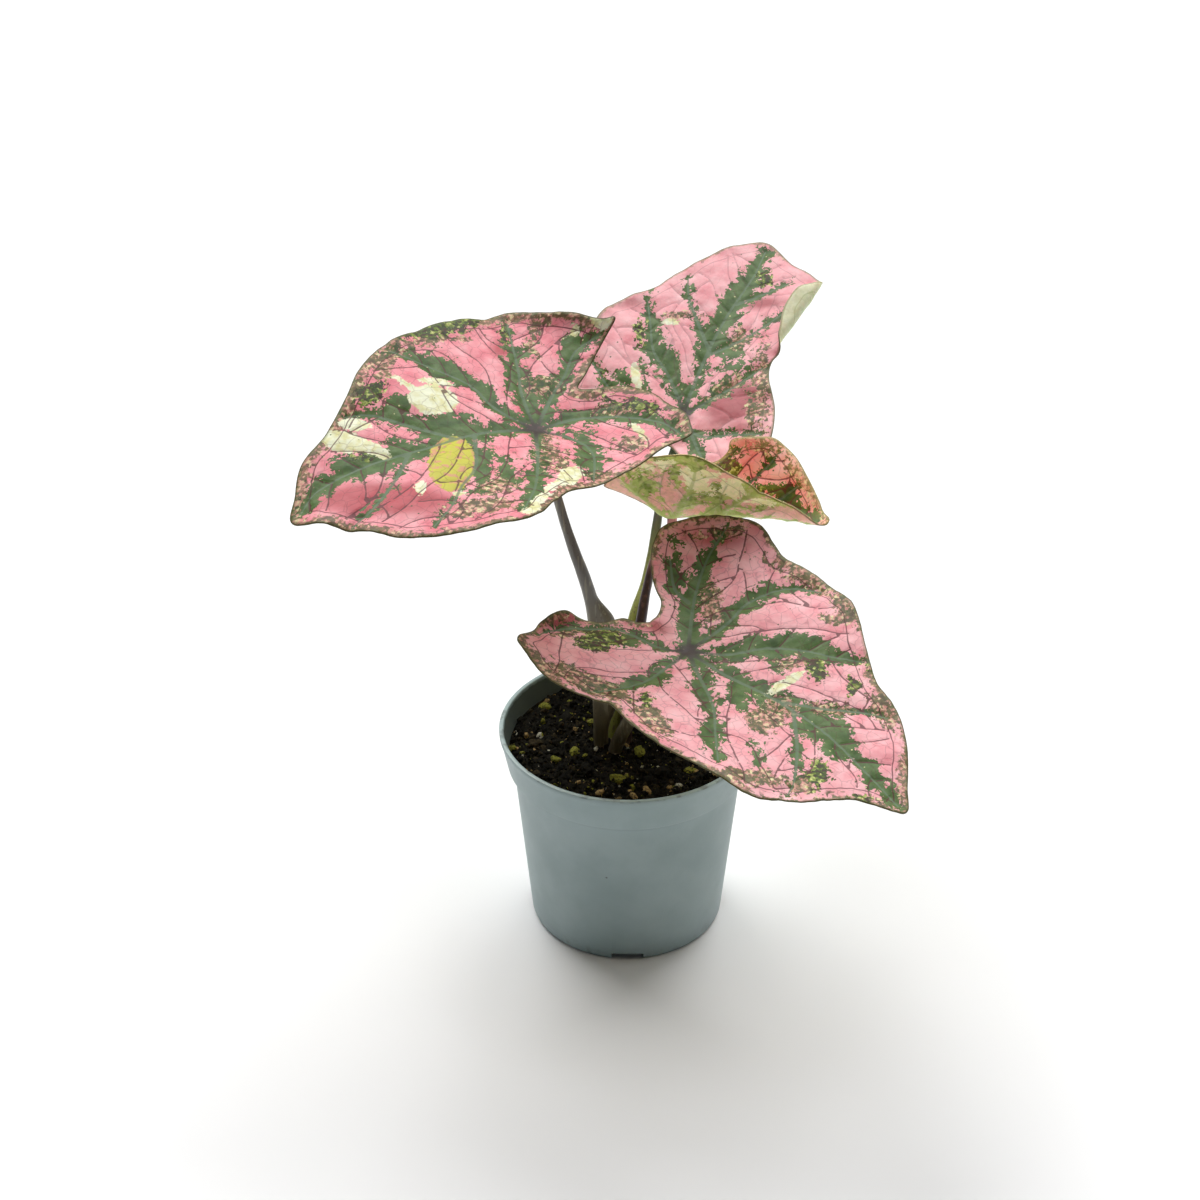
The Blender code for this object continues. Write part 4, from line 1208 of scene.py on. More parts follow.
        curls=(Bend(at=(39.0, -16.6), toward=-98.0, radius=1.4, angle=160.0, span=11.0),),
        outline=(
            (63.0, 1.5), (59.0, 7.5), (55.0, 11.0), (47.0, 16.0), (38.5, 21.0), (32.0, 26.0),
            (25.0, 30.5), (13.5, 31.0), (2.0, 29.5), (-8.0, 30.5), (-17.0, 28.0), (-23.0, 22.0),
            (-24.0, 15.5), (-20.0, 9.0), (-14.0, 4.0), (-10.0, 0.0), (-12.5, -4.0), (-17.5, -8.0),
            (-20.5, -12.0), (-19.5, -17.0), (-14.5, -21.5), (-8.0, -23.5), (-2.0, -24.0),
            (6.5, -21.5), (14.5, -17.2), (20.0, -16.0), (27.0, -19.0), (35.0, -23.0), (43.0, -23.6),
            (49.5, -20.0), (53.0, -15.0), (57.5, -6.5),
        ),
        veins=(
            Vein(((0, 0), (16, 1), (32, 1), (49, 0), (60, 1)), (1.2, 3.2, 1.6)),
            Vein(((0, 0), (3, 1.5), (11, 8), (17, 14), (25, 18), (33, 22)), (1.0, 2.2, 1.0)),
            Vein(((0, 0), (-2, 11), (2, 19), (9, 27)), (1.0, 1.3, 0.8)),
            Vein(((0, 0), (-5, 8), (-10, 15), (-15, 24)), (1.0, 1.5, 0.8)),
            Vein(((0, 0), (-5, -6), (-3, -15), (-2, -21)), (1.0, 1.0, 0.6)),
            Vein(((0, 0), (-6, -5), (-12, -10), (-16, -16)), (1.0, 1.3, 0.6)),
            Vein(((0, 0), (6, -5), (12, -10), (18, -14)), (1.0, 1.2, 0.8)),
            Vein(((21, 1), (29, 7), (36, 12), (43, 15)), (1.5, 0.8, 0.5)),
            Vein(((19, 1), (27, -6), (35, -11), (43, -14)), (2.0, 0.8, 0.5)),
            Vein(((38, 0), (45, -6), (50, -10)), (1.0, 0.6, 0.5)),
        ),
        marks={
            Tint.GREEN: (
                (39, 1, 8.3, 3.0, 2), (56, 1, 6.6, 1.3, 9), (47, -2, 2.8, 2.3, 23),
                (24, -4, 7.2, 3.0, 22), (17, -8, 4.0, 1.8, -71), (11, -6, 4.6, 2.0, -37),
                (15, 10, 6.0, 3.0, 34), (26, 18, 8.5, 1.3, 22), (8, 13, 4.9, 1.2, 29),
                (6, 17, 2.9, 2.2, 53), (22, 3, 4.7, 1.5, 21),
            ),
            Tint.OLIVE: (
                (21, 19, 4.2, 1.5, 22), (49, -3, 3.3, 2.0, 22), (6, 23, 1.3, 0.9, -80),
            ),
            Tint.MOTTLED: (
                (13, -16, 12.8, 1.8, 20), (10, -7, 4.6, 2.0, -37), (30, 11, 4.6, 1.4, -75),
                (5, -16, 6.0, 1.5, 21), (26, -5, 3.7, 2.5, 29),
            ),
            Tint.PINK: (
                (15, 4, 6.0, 2.0, 21), (10, 11, 4.3, 1.3, 51), (17, -2, 2.7, 1.4, -5),
                (29, -4, 4.1, 1.8, -77),
            ),
            Tint.CREAM: (
                (8, 15, 4.2, 1.3, 30), (27, 13, 2.1, 1.0, -78),
            ),
            # Red marks: partly the leaf's own red, partly painted light and shade.
            Tint.RED: (
                (6, -11, 8.0, 6.2, -35), (40, -6, 6.1, 2.8, -69), (10, -13, 4.1, 3.4, 45),
            ),
        },
    ),
    LeafBlade(
        name="right_leaf", node="blade_right", seed=4, attach=(10.2, 23.0, 95.5),
        finish=LeafFinish(
            # Lighter pinks and underside colours than the other leaves: painted light, standing in for light
            # shining through this folded, shaded blade.
            pinks=(shade(246, 138, 140), shade(250, 166, 164), shade(252, 190, 186)),
            glow=1.0, glow_reach=0.0022,
            greens=(shade(40, 70, 20), shade(62, 98, 34), shade(86, 116, 56)), band=0.2,
            under=(shade(242, 196, 190), shade(192, 208, 126), shade(124, 148, 66), shade(248, 247, 216)),
            under_blots=0.2, under_reach=0.0008,
        ),
        heading=-14.0, pitch=8.0, roll=0.0, lift={(3, 0): -7.0},
        folds=(
            Bend(at=(0.0, 0.0), toward=-90.0, radius=4.0, angle=66.0),
            Bend(at=(0.0, 0.0), toward=90.0, radius=4.0, angle=48.0),
        ),
        ripple=(0.5, 6, 0.0),
        outline=(
            (37.0, -0.5), (30.5, -7.0), (25.0, -10.5), (19.0, -16.0), (14.5, -21.5), (9.5, -24.5),
            (3.5, -25.0), (-2.5, -23.0), (-8.0, -19.5), (-13.0, -14.0), (-12.5, -12.0),
            (-5.5, -8.5), (-3.0, -4.5), (-2.5, -0.5), (-4.0, 3.0), (-8.0, 5.0), (-11.0, 9.0),
            (-9.0, 12.0), (-3.0, 12.5), (4.0, 12.0), (9.0, 12.7), (12.0, 15.0), (13.0, 17.8),
            (17.0, 18.5), (22.5, 18.5), (25.5, 16.5), (28.5, 13.5), (31.0, 9.5), (33.0, 6.0),
            (35.0, 2.2),
        ),
        veins=(
            Vein(((0, 0), (12, 0), (24, 0), (34, -0.5)), (1.5, 3.0, 1.5)),
            Vein(((0, 0), (4, -8), (8, -15), (10, -21)), (1.5, 3.0, 2.0)),
            Vein(((0, 0), (-3, -8), (-6, -13), (-8, -16)), (1.0, 2.0, 1.0)),
            Vein(((8, 0), (15, -7), (20, -11), (23, -12)), (1.5, 3.0, 2.0)),
            Vein(((0, 0), (5, 6), (9, 11), (14, 16)), (1.0, 1.5, 1.0)),
            Vein(((0, 0), (-3, 5), (-7, 8), (-9, 10)), (1.0, 1.0, 0.8)),
            Vein(((10, 0), (17, 7), (22, 12), (24, 15)), (1.0, 0.8, 0.5)),
            Vein(((20, 0), (25, 4), (29, 7)), (1.0, 1.0, 0.5)),
        ),
        marks={
            Tint.GREEN: (
                (26, 5, 7.1, 1.6, -22), (-4, -17, 4.4, 1.6, -25), (26, -9, 4.7, 2.0, 9),
                (8, -12, 4.0, 1.6, -70), (20, -14, 4.2, 1.4, -30),
            ),
            # Olive marks: partly painted shade, where this blade lies in another blade's shadow.
            Tint.OLIVE: (
                (13, 11, 2.8, 2.4, -9), (20, 5, 3.9, 1.2, -20), (11, -23, 13.4, 2.7, 12),
                (13, -11, 4.7, 3.8, -37), (-3, -14, 3.3, 2.7, -47), (5, -19, 4.7, 1.9, -76),
                (6, -9, 2.1, 1.8, -42), (24, -8, 3.6, 1.0, -40),
            ),
            Tint.MOTTLED: (
                (28, 10, 5.0, 1.2, -54), (20, 16, 4.8, 1.2, 10), (-3, -20, 6.4, 3.4, -23),
            ),
            # Red marks: partly the leaf's own red, partly painted light shining through this blade where it
            # lies in shade.
            Tint.RED: (
                (18, 17, 4.3, 1.7, 0),
            ),
            Tint.PINK: (
                (23, 10, 5.6, 3.4, -1), (32, 3, 1.9, 1.8, -21), (0, -19, 4.3, 1.9, -75),
                (3, -11, 4.8, 2.8, -72), (-5, -10, 7.1, 1.6, 24), (18, -9, 3.5, 2.2, -15),
            ),
            Tint.CREAM: (
                (9, -16, 5.3, 2.6, 64), (17, -13, 3.2, 2.7, -89), (3, -22, 2.0, 1.4, -17),
                (23, -9, 3.7, 1.2, 8), (13, -18, 2.4, 1.3, 30), (-1, -21, 2.6, 1.0, -15),
            ),
        },
    ),
)


@dataclass(frozen=True)
class StalkFinish:
    """A waxy stalk that runs from one colour at its foot to another at its top, with streaks."""

    name: str
    foot: Colour
    top: Colour
    streak: Colour
    span: Point
    speck: Colour = shade(36, 26, 28)
    rough: float = 0.36

    def material(self) -> bpy.types.Material:
        """The material, in the object's own coordinates."""
        paint = Paint(self.name)
        place = paint.own_place()
        colour = paint.blend(paint.edge(paint.height(place), *self.span), self.foot, self.top)
        long = paint.vector("MULTIPLY", place, (1.0, 1.0, 0.08))
        streaks = paint.edge(paint.grain(long, scale=1.6, detail=3.0), 0.52, 0.66)
        colour = paint.cover(colour, streaks, self.streak, 0.6)
        drawn = paint.vector("MULTIPLY", place, (1.0, 1.0, 0.45))
        colour = paint.cover(colour, paint.dots(drawn, scale=1.6, size=0.2, share=0.4), self.speck, 0.5)
        relief = paint.total(
            paint.swing(paint.grain(long, scale=3.0, detail=3.0), 0.8),
            paint.swing(paint.grain(place, scale=2.0), 0.3),
        )
        return paint.finish(colour, self.rough, relief)


class Tree(Nodes):
    """A Geometry Nodes tree with named inputs, run once on an object."""

    def __init__(self, name: str) -> None:
        """Starts a tree with its geometry in and out."""
        super().__init__(bpy.data.node_groups.new(name, "GeometryNodeTree"))
        for way in ("INPUT", "OUTPUT"):
            self.tree.interface.new_socket("Geometry", in_out=way, socket_type="NodeSocketGeometry")
        self.start = self.node("NodeGroupInput")
        self.end = self.node("NodeGroupOutput")
        self.values: dict[str, object] = {}

    def number(self, name: str, value: float, whole: bool = False) -> Socket:
        """A named input and the value it is run with."""
        kind = "NodeSocketInt" if whole else "NodeSocketFloat"
        made = self.tree.interface.new_socket(name, in_out="INPUT", socket_type=kind)
        self.values[made.identifier] = int(value) if whole else float(value)
        return self.start.outputs[name]

    def scaled(self, vector: object, scale: object) -> Socket:
        """A vector times a number."""
        made = self.node("ShaderNodeVectorMath", operation="SCALE")
        self.feed(made.inputs[0], vector)
        self.feed(made.inputs[3], scale)
        return made.outputs[0]

    def finish(self, geometry: Socket, material: bpy.types.Material) -> None:
        """Ends the tree in plain faces of one material."""
        real = self.node("GeometryNodeRealizeInstances")
        dress = self.node("GeometryNodeSetMaterial")
        dress.inputs["Material"].default_value = material
        self.feed(real.inputs[0], geometry)
        self.feed(dress.inputs[0], real.outputs[0])
        self.feed(self.end.inputs[0], dress.outputs[0])

    def run(self, base: bpy.types.Object, name: str) -> bpy.types.Mesh:
        """Runs the tree on an object, which it uses up.

        Args:
            base: The object that the tree starts from.
            name: Name of the result.

        Returns:
            The result as a plain mesh.
        """
        modifier = base.modifiers.new("tree", "NODES")
        modifier.node_group = self.tree
        for identifier, value in self.values.items():
            modifier[identifier] = value
        mesh = finished_mesh(base, name)
        base.modifiers.remove(modifier)
        bpy.data.objects.remove(base, do_unlink=True)
        return mesh


@dataclass
class Petiole:
    """A leaf stalk, with the swollen sheath that the next stalk grew out of.

    Its route gives x, y, z and radius in mm. The sheath's span gives the heights where it starts, is
    full, starts to end and has ended.
    """

    name: str
    node: str
    slot: str
    route: tuple[Point, ...]
    blade: str
    top_radius: float
    finish: StalkFinish
    sheath_reach: float = 0.0
    sheath_span: Point = (60.0, 68.0, 80.0, 84.0)
    sheath_side: Point = (1.0, 0.0, 0.0)
    sides: int = 28
    step: float = 0.7
    neck: float = 3.5
    neck_lean: float = 1.6
    flare: float = 1.25
    grooves_per_metre: float = 900.0
    groove_depth: float = 0.16

    def centre_line(self) -> np.ndarray:
        """Rows of x, y, z and radius in mm, from the tuber up into the blade's ribs."""
        leaf = next(leaf for leaf in LEAVES if leaf.node == self.blade)
        normal = leaf.axes()[2]
        attach = np.array(leaf.attach)
        arriving = attach - np.array(self.route[-1][:3])
        turned = normal + self.neck_lean * arriving / np.linalg.norm(arriving)
        turned /= np.linalg.norm(turned)
        top = attach - normal * (leaf.thickness + leaf.groove)
        neck = top - turned * self.neck
        rows = [list(row) for row in self.route]
        rows.append([*neck, self.top_radius])
        rows.append([*top, self.top_radius * self.flare])
        return smooth_route(rows, self.step)

    def spine(self) -> bpy.types.Object:
        """A curve along the centre line, with the stalk's radius at each point."""
        rows = self.centre_line()
        curve = bpy.data.curves.new(self.name, "CURVE")
        curve.dimensions = "3D"
        spline = curve.splines.new("POLY")
        spline.points.add(len(rows) - 1)
        for point, row in zip(spline.points, rows):
            point.co = (*(row[:3] * MM), 1.0)
            point.radius = row[3]
        return add_object(self.name + "_line", curve)

    def sheath(self, tree: Tree, place: object, normal: object) -> Socket:
        """How far the sheath stands out: between its heights, and on its own side."""
        turn = tree.node("ShaderNodeVectorMath", operation="DOT_PRODUCT")
        tree.feed(turn.inputs[0], normal)
        tree.feed(turn.inputs[1], self.sheath_side)
        facing = tree.math("MAXIMUM", turn.outputs["Value"], 0.0)
        height = tree.height(place)
        foot, full, ebb, top = (level * MM for level in self.sheath_span)
        rise = tree.step(height, tree.number("Sheath foot", foot), tree.number("Sheath full", full), True)
        fall = tree.step(height, tree.number("Sheath ebb", ebb), tree.number("Sheath top", top), False)
        swell = tree.math("MULTIPLY", rise, fall)
        swell = tree.math("MULTIPLY", swell, tree.math("MULTIPLY", facing, facing))
        return tree.math("MULTIPLY", swell, tree.number("Sheath reach", self.sheath_reach * MM))

    def grooves(self, tree: Tree, place: object) -> Socket:
        """The depth of the fine grooves that run up the stalk."""
        noise = tree.node("ShaderNodeTexNoise")
        tree.feed(noise.inputs["Vector"], tree.vector("MULTIPLY", place, (1.0, 1.0, 0.12)))
        tree.feed(noise.inputs["Scale"], tree.number("Grooves per metre", self.grooves_per_metre))
        about = tree.math("SUBTRACT", noise.outputs[0], 0.5)
        return tree.math("MULTIPLY", about, tree.number("Groove depth", self.groove_depth * MM))

    def build(self) -> None:
        """Sweeps the stalk along its centre line and swells its sheath."""
        tree = Tree(self.name + "_sweep")
        ring = tree.node("GeometryNodeCurvePrimitiveCircle")
        tree.feed(ring.inputs["Resolution"], tree.number("Sides", self.sides, whole=True))
        tree.feed(ring.inputs["Radius"], tree.number("Radius unit", MM))
        sweep = tree.node("GeometryNodeCurveToMesh")
        tree.feed(sweep.inputs["Curve"], tree.start.outputs["Geometry"])
        tree.feed(sweep.inputs["Profile Curve"], ring.outputs[0])
        tree.feed(sweep.inputs["Scale"], tree.node("GeometryNodeInputRadius").outputs[0])
        sweep.inputs["Fill Caps"].default_value = True
        normal = tree.node("GeometryNodeInputNormal").outputs[0]
        place = tree.node("GeometryNodeInputPosition").outputs[0]
        relief = tree.math("ADD", self.sheath(tree, place, normal), self.grooves(tree, place))
        move = tree.node("GeometryNodeSetPosition")
        tree.feed(move.inputs["Geometry"], sweep.outputs[0])
        tree.feed(move.inputs["Offset"], tree.scaled(normal, relief))
        tree.finish(move.outputs[0], self.finish.material())
        mesh = tree.run(self.spine(), self.name)
        mesh.shade_smooth()
        publish(self.name, mesh, self.slot, self.node)


PURPLE_STALK = StalkFinish(
    "stalk_purple", foot=shade(92, 84, 64), top=shade(98, 94, 88), streak=shade(138, 132, 112),
    span=(78.0, 92.0),
)
GREEN_STALK = StalkFinish(
    "stalk_green", foot=shade(146, 152, 78), top=shade(62, 68, 58), streak=shade(96, 78, 72),
    span=(76.0, 92.0),
)
PINK_STALK = StalkFinish(
    "stalk_pink", foot=shade(58, 42, 44), top=shade(188, 116, 112), streak=shade(96, 66, 66),
    span=(82.0, 91.0),
)

PETIOLES = (
    Petiole(
        name="left_stalk", node="petiole_left", slot="stalk_purple", blade="blade_left",
        top_radius=1.1, finish=PURPLE_STALK, sheath_reach=2.9, sheath_span=(50.0, 62.0, 79.5, 87.4),
        route=(
            (-6.2, -0.6, 33.6, 1.6), (-6.2, -0.6, 46.0, 1.7), (-6.4, -0.4, 62.0, 1.85),
            (-6.9, -0.2, 74.0, 1.75), (-7.6, 0.0, 80.5, 1.65), (-8.5, 0.0, 86.0, 1.55),
            (-10.2, 0.0, 92.4, 1.42), (-12.3, 0.0, 99.0, 1.25), (-14.1, 0.0, 105.3, 1.12),
            (-15.7, 0.0, 111.7, 1.05), (-18.0, 0.1, 120.5, 1.05),
        ),
    ),
    Petiole(
        name="back_stalk", node="petiole_back", slot="stalk_green", blade="blade_back",
        top_radius=1.1, finish=GREEN_STALK,
        route=(
            (-3.6, 2.9, 33.4, 1.5), (-3.4, 3.0, 46.0, 1.6), (-0.9, 7.5, 59.5, 1.9),
            (1.7, 14.5, 71.3, 1.7), (4.3, 20.5, 77.2, 1.4), (5.8, 26.0, 82.2, 1.2),
            (6.9, 31.5, 86.9, 1.1), (7.9, 36.5, 91.0, 1.0), (10.2, 44.0, 97.0, 1.0),
        ),
    ),
    Petiole(
        name="right_stalk", node="petiole_right", slot="stalk_pink", blade="blade_right",
        top_radius=1.0, finish=PINK_STALK,
        route=(
            (-0.6, -0.2, 33.4, 1.4), (-0.6, -0.2, 46.0, 1.5), (0.7, 4.5, 60.5, 1.45),
            (3.1, 11.3, 73.5, 1.25), (4.3, 15.0, 79.1, 1.05), (6.0, 18.3, 85.3, 0.9),
        ),
    ),
    Petiole(
        name="front_stalk", node="petiole_front", slot="stalk_purple", blade="blade_front",
        top_radius=1.2, finish=PURPLE_STALK,
        route=(
            (-3.4, -3.5, 33.3, 1.5), (-3.2, -3.7, 46.0, 1.6), (0.6, -6.8, 58.0, 1.6),
            (6.2, -12.2, 70.0, 1.3), (10.6, -18.0, 79.0, 1.1),
        ),
    ),
)


@dataclass(frozen=True)
class PotFinish:
    """Moulded grey-blue plastic, a little dusty, with soil marks and painted shade.

    Each pair of heights, in mm, is where a mark starts and where it is full. The wall's radius is
    its slope times the height, plus its foot: inside it the plastic is painted dark, as painted shade with
    some soil residue.
    """

    body: Colour = shade(146, 165, 166)
    paler: Colour = shade(160, 178, 179)
    dirt: Colour = shade(70, 66, 58)
    # Painted shade of the inner wall, with some soil residue in it.
    inside: Colour = shade(60, 64, 56)
    band_shade: Colour = shade(112, 126, 127)
    stain_heights: Point = (5.0, 0.0)
    shade_from: Point = (40.6, 41.9)
    shade_to: Point = (42.5, 42.1)
    wall_foot: float = 19.64
    wall_slope: float = 0.1915
    inside_from: Point = (43.4, 43.8)
    inside_to: Point = (51.2, 50.4)
    lip_heights: Point = (50.9, 51.3)

    def stains(self, paint: Paint, place: object, colour: object) -> Socket:
        """The colour so far with soil marks near the foot, and a shade right under the band."""
        height = paint.height(place)
        patches = paint.edge(paint.grain(place, scale=0.4, detail=4.0), 0.5, 0.7)
        stain = paint.math("MULTIPLY", paint.edge(height, *self.stain_heights), patches)
        colour = paint.cover(colour, stain, self.dirt, 0.4)
        above, below = paint.edge(height, *self.shade_from), paint.edge(height, *self.shade_to)
        return paint.cover(colour, paint.math("MULTIPLY", above, below), self.band_shade, 0.4)

    def inner_wall_shade(self, paint: Paint, place: object) -> Socket:
        """1 on the wall's inner face, from the band up to near the lip, where the painted shade goes."""
        height = paint.height(place)
        away = paint.node("ShaderNodeVectorMath", operation="LENGTH")
        paint.feed(away.inputs[0], paint.vector("MULTIPLY", place, (1.0, 1.0, 0.0)))
        wall = paint.math("ADD", paint.math("MULTIPLY", height, self.wall_slope), self.wall_foot)
        inner = paint.edge(paint.math("SUBTRACT", wall, away.outputs["Value"]), -0.1, 0.1)
        inner = paint.math("MULTIPLY", inner, paint.edge(height, *self.inside_from))
        uneven = paint.total(height, paint.swing(paint.grain(place, scale=0.5), 1.2))
        return paint.math("MULTIPLY", inner, paint.edge(uneven, *self.inside_to))

    def material(self) -> bpy.types.Material:
        """The material, in the object's own coordinates."""
        paint = Paint("pot_plastic")
        place = paint.own_place()
        cloud = paint.grain(place, scale=0.05, detail=4.0, rough=0.6)
        colour = paint.blend(paint.edge(cloud, 0.35, 0.7), self.body, self.paler)
        colour = self.stains(paint, place, colour)
        # Painted shade on the inner wall, mixed with soil residue.
        colour = paint.cover(colour, self.inner_wall_shade(paint, place), self.inside, 0.85)
        patches = paint.edge(paint.grain(place, scale=0.3, detail=4.0), 0.5, 0.65)
        lip = paint.math("MULTIPLY", paint.edge(paint.height(place), *self.lip_heights), patches)
        colour = paint.cover(colour, lip, self.dirt, 0.5)
        specks = paint.dots(place, scale=0.16, size=0.05, share=0.25)
        colour = paint.cover(colour, specks, self.dirt, 0.7)
        rough = paint.total(0.46, paint.swing(paint.grain(place, scale=0.3, detail=3.0), 0.16))
        broad = paint.math("MULTIPLY", paint.grain(place, scale=0.12), 0.8)
        relief = paint.total(paint.grain(place, scale=2.2, detail=3.0), broad)
        return paint.finish(colour, rough, relief, 0.00003)


@dataclass
class Pot:
    """The thin moulded pot, with its lip and band finely rounded and its drain notches cut.

    A notch is given by its width, its height and how deep it is cut.
    """

    height: float = 51.5
    rim_radius: float = 30.0
    lip_width: float = 1.1
    lip_depth: float = 1.8
    band_height: float = 9.4
    band_foot_radius: float = 28.2
    body_top_radius: float = 26.8
    base_radius: float = 22.8
    base_round: float = 0.8
    wall: float = 0.95
    floor: float = 1.2
    notch: Point = (7.5, 1.9, 3.0)
    notch_overhang: float = 0.8
    notches: int = 4
    sides: int = 224
    sharp_angle: float = 40.0
    finish: PotFinish = field(default_factory=PotFinish)

    def body_radius(self, height: float) -> float:
        """The outer radius below the band."""
        share = height / (self.height - self.band_height)
        return self.base_radius + (self.body_top_radius - self.base_radius) * share

    def inner(self) -> tuple[Point, ...]:
        """The inner face's radius and height, from the floor up to the lip."""
        foot = self.height - self.band_height
        return (
            (self.body_radius(self.floor) - self.wall, self.floor),
            (self.body_top_radius - self.wall, foot - 0.9),
            (self.band_foot_radius - self.wall, foot + 0.6),
            (self.rim_radius - self.lip_width, self.height - 0.3),
        )

    def profile(self) -> list[Point]:
        """Radius and height down the outer side, with rounded corners."""
        foot = self.height - self.band_height
        lip = self.rim_radius - self.lip_width
        rows = [(0.0, self.floor), *self.inner()]
        rows += [(lip + 0.1, self.height - 0.1), (lip + 0.3, self.height), (lip + 0.8, self.height)]
        rows += [(self.rim_radius - 0.1, self.height - 0.08), (self.rim_radius, self.height - 0.3)]
        rows += [(self.rim_radius - 0.08, self.height - 1.2)]
        rows += [(self.rim_radius - 0.34, self.height - self.lip_depth)]
        rows += [(self.rim_radius - 0.46, self.height - self.lip_depth - 0.5)]
        rows += [(self.band_foot_radius + 0.04, foot + 0.7), (self.band_foot_radius - 0.06, foot + 0.3)]
        rows += [(self.band_foot_radius - 0.35, foot + 0.05), (self.body_top_radius + 0.35, foot)]
        rows += [(self.body_top_radius + 0.05, foot - 0.25), (self.body_radius(foot - 2), foot - 2)]
        rows += [(self.body_radius(14.0), 14.0), (self.body_radius(1.0), 1.0)]
        rows += [(self.base_radius - 0.1, 0.5), (self.base_radius - 0.35, 0.15)]
        rows += [(self.base_radius - self.base_round, 0.0), (0.0, 0.0)]
        return rows

    def notch_block(self, turn: float) -> bpy.types.Object:
        """The block that cuts the drain notch at that turn."""
        width, height, depth = self.notch
        middle = (self.base_radius - depth / 2 + self.notch_overhang) * MM
        place = Matrix.Rotation(turn, 4, "Z") @ Matrix.Translation((middle, 0.0, 0.0))
        size = Matrix.Diagonal((depth * MM, width * MM, 2 * height * MM, 1.0))
        made = bmesh.new()
        bmesh.ops.create_cube(made, size=1.0)
        bmesh.ops.transform(made, matrix=place @ size, verts=made.verts)
        block = bpy.data.meshes.new("notch")
        made.to_mesh(block)
        made.free()
        return add_object("notch", block)

    def build(self) -> None:
        """Turns the profile, cuts the notches and dresses the pot."""
        mesh = bpy.data.meshes.new("nursery_pot")
        rows = self.profile()
        edges = [(i, i + 1) for i in range(len(rows) - 1)]
        mesh.from_pydata([(r * MM, 0.0, z * MM) for r, z in rows], edges, [])
        base = add_object("pot_turned", mesh)
        screw = base.modifiers.new("turn", "SCREW")
        screw.steps = screw.render_steps = self.sides
        screw.use_merge_vertices = True
        screw.merge_threshold = 0.00001
        blocks = []
        for i in range(self.notches):
            block = self.notch_block(-math.pi / 2 + math.tau * i / self.notches)
            blocks.append(block)
            cut = base.modifiers.new("notch", "BOOLEAN")
            cut.operation = "DIFFERENCE"
            cut.solver = "EXACT"
            cut.object = block
        done = finished_mesh(base, "nursery_pot")
        for used in [base, *blocks]:
            bpy.data.objects.remove(used, do_unlink=True)
        done.shade_smooth()
        done.set_sharp_from_angle(angle=math.radians(self.sharp_angle))
        done.materials.clear()
        done.materials.append(self.finish.material())
        publish("nursery_pot", done, "pot_plastic", "pot")


@dataclass(frozen=True)
class SoilFinish:
    """Dark peat, its crumbs toned by a number that each one carries."""

    darkest: Colour = shade(6, 6, 3)
    dark: Colour = shade(20, 18, 11)
    brown: Colour = shade(52, 44, 28)
    olive: Colour = shade(124, 124, 50)
    tan: Colour = shade(158, 134, 90)
    pale: Colour = shade(178, 176, 158)
    sheen: float = 0.12

    def ground(self) -> bpy.types.Material:
        """The soil between the crumbs."""
        paint = Paint("soil_ground")
        place = paint.own_place()
        clouds = paint.grain(place, scale=1.2, detail=5.0, rough=0.7)
        colour = paint.ramp(clouds, (0.3, 0.55, 0.8), (self.darkest, self.dark, self.brown))
        paint.shader.inputs["Specular IOR Level"].default_value = self.sheen
        return paint.finish(colour, 0.95, paint.grain(place, scale=2.0, detail=6.0, rough=0.7), 0.0006)

    def crumbs(self) -> bpy.types.Material:
        """Loose crumbs, most of them dark and a few pale."""
        paint = Paint("soil_crumbs")
        place = paint.own_place()
        tones = (self.darkest, self.dark, self.brown, self.olive, self.tan, self.pale)
        colour = paint.ramp(paint.attribute("tone"), (0.0, 0.35, 0.7, 0.9, 0.945, 0.975), tones, hard=True)
        clouds = paint.grain(place, scale=2.4, detail=4.0)
        colour = paint.blend(paint.edge(clouds, 0.45, 0.7), colour, self.dark)
        paint.shader.inputs["Specular IOR Level"].default_value = self.sheen
        return paint.finish(colour, 0.92, paint.grain(place, scale=4.0, detail=5.0, rough=0.7), 0.0004)


